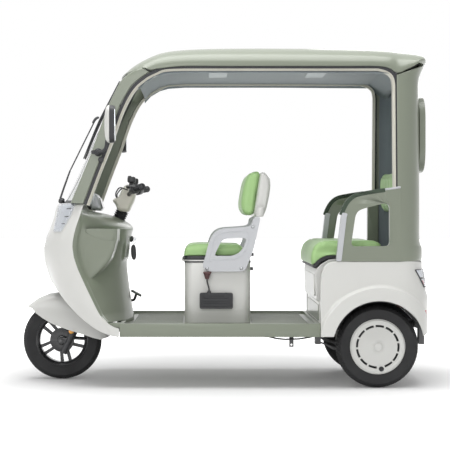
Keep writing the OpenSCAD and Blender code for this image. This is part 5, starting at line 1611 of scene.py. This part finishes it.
# Ignition lock with its key, ring and fob
key = {
    "lock": [478.0, 0, 733], "tilt": 102,
    "blade": [[456, 724], [470, 728], [470, 738], [456, 742], [450, 733]],
    "ring": [[455, 0, 731], [452, 4, 720], [462, 0, 706], [466, -4, 720], [455.2, 0, 731]],
    "fob": [[472, 704], [480, 688], [478, 640], [468, 622], [456, 624], [450, 642], [453, 688], [460, 704]],
}


def buildKey():
    tilt = math.radians(key["tilt"])
    turned("ignitionLock", [[0, -6], [16, -6], [16, 4], [14, 8], [11, 9], [10, 12], [0, 12]], key["lock"],
           [-math.sin(tilt), 0, math.cos(tilt)], "black_plastic", steps=40, stands=["ignition"])
    slab("keyBlade", softOutline(key["blade"], 4), -1.6, 1.6, "steel", bevel=0.6)
    tube("keyRing", key["ring"], 1.2, "steel", sides=10, step=2)
    ringBody("keyFob", softRings(key["fob"], 8, 5, 5, 5), "black_plastic")


# Brake pedal: a ribbed pad on a bent arm
pedal = {
    "pad": [[484, 454], [430, 424], [427, 431], [481, 461]], "y": [-128, -57], "ribs": 6,
    "rib": [[475, 456.4], [471.5, 454.4], [469.9, 458], [473.4, 460]], "ribStep": [-8, -4.3],
    "arm": [[456, -92, 440], [462, -92, 418], [470, -92, 406], [478, -92, 405], [486, -92, 406]],
}


def buildPedal():
    lo, hi = pedal["y"]
    slab("pedalPad", softOutline(pedal["pad"], 4), lo, hi, "rubber", bevel=2.5, stands=["brake_pedal"])
    for k in range(pedal["ribs"]):
        rib = np.array(pedal["rib"]) + k * np.array(pedal["ribStep"])
        slab(f"pedalRib{k}", rib, lo + 6, hi - 6, "black_plastic", bevel=0.6)
    tube("pedalArm", pedal["arm"], 7, "black_metal", sides=18, step=4)


# Case on the seat box with its ribs, clips and plug
case = {
    "middle": [34, 426], "half": [84, 40], "y": [268.3, 292], "ribX": [-36, 104], "ribZ": 399, "ribPitch": 27,
    "clipX": [-22, 78], "gland": [70, 289, 466], "plug": [80, 289, 536],
    "plugProfile": [[0, 0], [8.5, 0], [10, 3], [12, 12], [17, 26], [20, 30], [20, 36], [17, 37.6], [0, 37.6]],
}


def buildCase():
    outline = roundRect(*case["half"], 10, 6) + case["middle"]
    made = [slab("caseBody", outline, *case["y"], "black_plastic", bevel=4, stands=["side_case"])]
    x0, x1 = case["ribX"]
    for k in range(3):
        z = case["ribZ"] + k * case["ribPitch"]
        rib = softOutline([[x0, z], [x1, z], [x1, z + 12], [x0, z + 12]], 5)
        made.append(slab(f"caseRib{k}", rib, 290, 298.5, "black_plastic", bevel=3))
    for k, x in enumerate(case["clipX"]):
        clip = softOutline([[x, 440], [x + 14, 440], [x + 14, 468], [x, 468]], 4)
        made.append(slab(f"caseClip{k}", clip, 291, 300, "black_plastic", bevel=2))
    made.append(turned("caseGland", [[0, -6], [10, -6], [10, 5], [7, 12], [0, 12]], case["gland"], [0, 0, 1],
                       "black_plastic", steps=28))
    joined("caseSet", made)
    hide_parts("side_case")
    turned("plugBody", case["plugProfile"], case["plug"], [0, 0, 1], "plug", steps=40)
    for k in range(3):
        wide = 12.6 + k * 1.6
        turned(f"plugRing{k}", [[10, -1.2], [wide, -1.2], [wide, 1.2], [10, 1.2]],
               np.array(case["plug"]) + [0, 0, 8 + k * 5.5], [0, 0, 1], "plug", steps=40)


# Ribs of the floor, and the seat's black band
floor = {
    "ribs": 22, "firstRib": -399, "pitch": 38, "ribHalf": [440, 7], "ribX": 12, "ribZ": [309, 315],
    "seatHole": [[-150, -278], [204, -278], [204, 278], [-150, 278]],
    "band": [[-141.5, -269], [195, -269], [195, 269], [-141.5, 269]], "bandZ": 622,
}


def buildFloor():
    ribs = []
    for k in range(floor["ribs"]):
        outline = roundRect(*floor["ribHalf"], 6, 4) + [floor["ribX"], floor["firstRib"] + k * floor["pitch"]]
        ribs.append(slab(f"floorRib{k}", outline, *floor["ribZ"], "sage", axis=2, bevel=1.6))
    rib = joined("floorRibs", ribs)
    carve(rib, slab("floorHole", softOutline(floor["seatHole"], 40), 300, 330, "sage", axis=2, bevel=0))
    path = np.insert(softOutline(floor["band"], 46, 9), 2, floor["bandZ"], axis=1)
    away = np.cross(unitRows(np.roll(path[:, :2], -1, 0) - np.roll(path[:, :2], 1, 0)), [0, 0, 1.0])
    sectionLoop("seatBand", path, away, [[-4, -1.5], [4, -1.5], [4, 0.8], [-4, 0.8]], "black_plastic")


# The amber reflectors on the fork's legs, each in its cup
amber = {"place": [784, 92, 256]}


def buildForkBits():
    for side in (1, -1):
        place = np.array(amber["place"]) * [1, side, 1]
        turned(f"amber{side}", [[0, -2], [13, -2], [13.6, 0], [13, 3], [9, 4.6], [0, 5]], place,
               [0, side, 0], "amber", "steering", steps=40)
        cup = [[0, -8], [14, -8], [15.4, -6], [15.4, 1.5], [14.2, 1.5], [13.8, -1], [0, -1]]
        turned(f"amberCup{side}", cup, place, [0, side, 0], "black_plastic", "steering", steps=40)


buildFrontBits()
buildCorners()
buildArmrests()
buildSeatFrames()
buildBackShell()
buildRearRims()
buildMirrors()
buildColumn()
buildHandlebar()
buildPod()
buildKey()
buildPedal()
buildCase()
buildFloor()
buildForkBits()
print("fittings built")


# CAD pieces that show as they are: their finish, and the radius of their rounded edges
dressed = {
    "chassis_frame": ("black_metal", 0), "floor_tray": ("sage", 3), "wheel_well": ("black_plastic", 0),
    "seat_box": ("white", 3), "battery": ("grey_metal", 2), "case_lead": ("cable", 0),
    "rear_axle": ("black_metal", 1), "rear_springs": ("black_metal", 0), "brake_cable": ("cable", 0),
    "cushion_base": ("black_plastic", 2), "fork": ("black_metal", 1), "front_guard": ("white", 0),
    "front_rim": ("alloy_black", 1.2),
}


def dressNodes():
    for name, (finish, radius) in dressed.items():
        obj = nodes[name]
        obj.data.materials.clear()
        obj.data.materials.append(finishes[finish])
        obj.data.polygons.foreach_set("use_smooth", np.ones(len(obj.data.polygons), bool))
        weld = obj.modifiers.new("weld", "WELD")
        weld.merge_threshold = 0.00002
        if radius:
            roundEdges(obj, radius, 3, 38)
        else:
            split = obj.modifiers.new("creases", "EDGE_SPLIT")
            split.split_angle = math.radians(38)


dressNodes()
print("frame pieces dressed")


# Floor, light and camera
studio = {
    "floor": (0.93, 0.93, 0.93), "camera": [116, 7000, 859], "focal": 1331, "centrePixel": [200, 215],
    "key": 190, "fill": 60, "rim": 50, "world": 0.42, "floorGlow": 0.06, "fade": [1.1, 2.8],
}


def softBox(name, place, aim, size, power):
    lamp = bpy.data.lights.new(name, "AREA")
    lamp.shape = "RECTANGLE"
    lamp.size, lamp.size_y = size
    lamp.energy = power
    obj = bpy.data.objects.new(name, lamp)
    obj.location = place
    obj.rotation_euler = (Vector(aim) - Vector(place)).to_track_quat("-Z", "Y").to_euler()
    bpy.context.scene.collection.objects.link(obj)


def floorMaterial(name, colour):
    # A matt floor that keeps the shadow. A glow is added for the camera and for glossy and transmitted rays
    # alone, so that the open floor is white and lights nothing
    made, tree, shader, place = newMaterial(name)
    shader.inputs["Base Color"].default_value = (*colour, 1)
    shader.inputs["Roughness"].default_value = 0.95
    shader.inputs["Specular IOR Level"].default_value = 0.1
    ray = tree.nodes.new("ShaderNodeLightPath")
    far = tree.nodes.new("ShaderNodeVectorMath")
    far.operation = "LENGTH"
    tree.links.new(place, far.inputs[0])
    strength = tree.nodes.new("ShaderNodeMath")
    strength.operation = "MULTIPLY"
    tree.links.new(remap(tree, far.outputs["Value"], *studio["fade"], studio["floorGlow"], 1.0),
                   strength.inputs[1])
    tree.links.new(eitherRay(tree, ray), strength.inputs[0])
    glow = tree.nodes.new("ShaderNodeEmission")
    tree.links.new(strength.outputs[0], glow.inputs["Strength"])
    total = tree.nodes.new("ShaderNodeAddShader")
    tree.links.new(shader.outputs[0], total.inputs[0])
    tree.links.new(glow.outputs[0], total.inputs[1])
    out = next(n for n in tree.nodes if n.type == "OUTPUT_MATERIAL")
    tree.links.new(total.outputs[0], out.inputs[0])
    return made


def buildStudio():
    addStage("studioFloor", [[-40000, -40000, 0], [40000, -40000, 0], [40000, 40000, 0], [-40000, 40000, 0]],
             [[0, 1, 2, 3]])
    world = bpy.data.worlds.new("studioWorld")
    bpy.context.scene.world = world
    world.use_nodes = True
    tree = world.node_tree
    tree.nodes.clear()
    out = tree.nodes.new("ShaderNodeOutputWorld")
    mix = tree.nodes.new("ShaderNodeMixShader")
    room = tree.nodes.new("ShaderNodeBackground")
    room.inputs["Strength"].default_value = studio["world"]
    room.inputs["Color"].default_value = (1, 1, 1, 1)
    white = tree.nodes.new("ShaderNodeBackground")
    white.inputs["Strength"].default_value = 1.0
    white.inputs["Color"].default_value = (1, 1, 1, 1)
    ray = tree.nodes.new("ShaderNodeLightPath")
    tree.links.new(eitherRay(tree, ray), mix.inputs["Fac"])
    tree.links.new(room.outputs[0], mix.inputs[1])
    tree.links.new(white.outputs[0], mix.inputs[2])
    tree.links.new(mix.outputs[0], out.inputs[0])
    softBox("overheadBox", (0.2, 0.6, 4.6), (0, 0, 0.6), (4.6, 3.4), studio["key"])
    softBox("sideBox", (1.6, 5.2, 2.6), (0, 0, 0.8), (3.0, 2.4), studio["fill"])
    softBox("farBox", (-2.4, -4.6, 2.8), (0, 0, 0.8), (3.0, 2.2), studio["rim"])
    camera = bpy.data.cameras.new("photoCamera")
    camera.sensor_width = 36
    camera.lens = 36 * studio["focal"] / 450
    camera.shift_x = (225 - studio["centrePixel"][0]) / 450
    camera.shift_y = (studio["centrePixel"][1] - 225) / 450
    camera.clip_end = 100
    obj = bpy.data.objects.new("photoCamera", camera)
    obj.location = [v / 1000 for v in studio["camera"]]
    obj.rotation_euler = (math.pi / 2, 0, math.pi)
    bpy.context.scene.collection.objects.link(obj)
    bpy.context.scene.camera = obj
    bpy.context.scene.view_settings.view_transform = "Standard"


def eitherRay(tree, ray):
    first = tree.nodes.new("ShaderNodeMath")
    first.operation = "MAXIMUM"
    tree.links.new(ray.outputs["Is Camera Ray"], first.inputs[0])
    tree.links.new(ray.outputs["Is Glossy Ray"], first.inputs[1])
    both = tree.nodes.new("ShaderNodeMath")
    both.operation = "MAXIMUM"
    tree.links.new(first.outputs[0], both.inputs[0])
    tree.links.new(ray.outputs["Is Transmission Ray"], both.inputs[1])
    return both.outputs[0]


def addStage(name, points, faces):
    mesh = bpy.data.meshes.new(name)
    mesh.from_pydata((np.asarray(points, float) / 1000).tolist(), [], faces)
    obj = bpy.data.objects.new(name, mesh)
    bpy.context.scene.collection.objects.link(obj)
    mesh.materials.append(floorMaterial(name, studio["floor"]))
    return obj


buildStudio()
print("studio built")
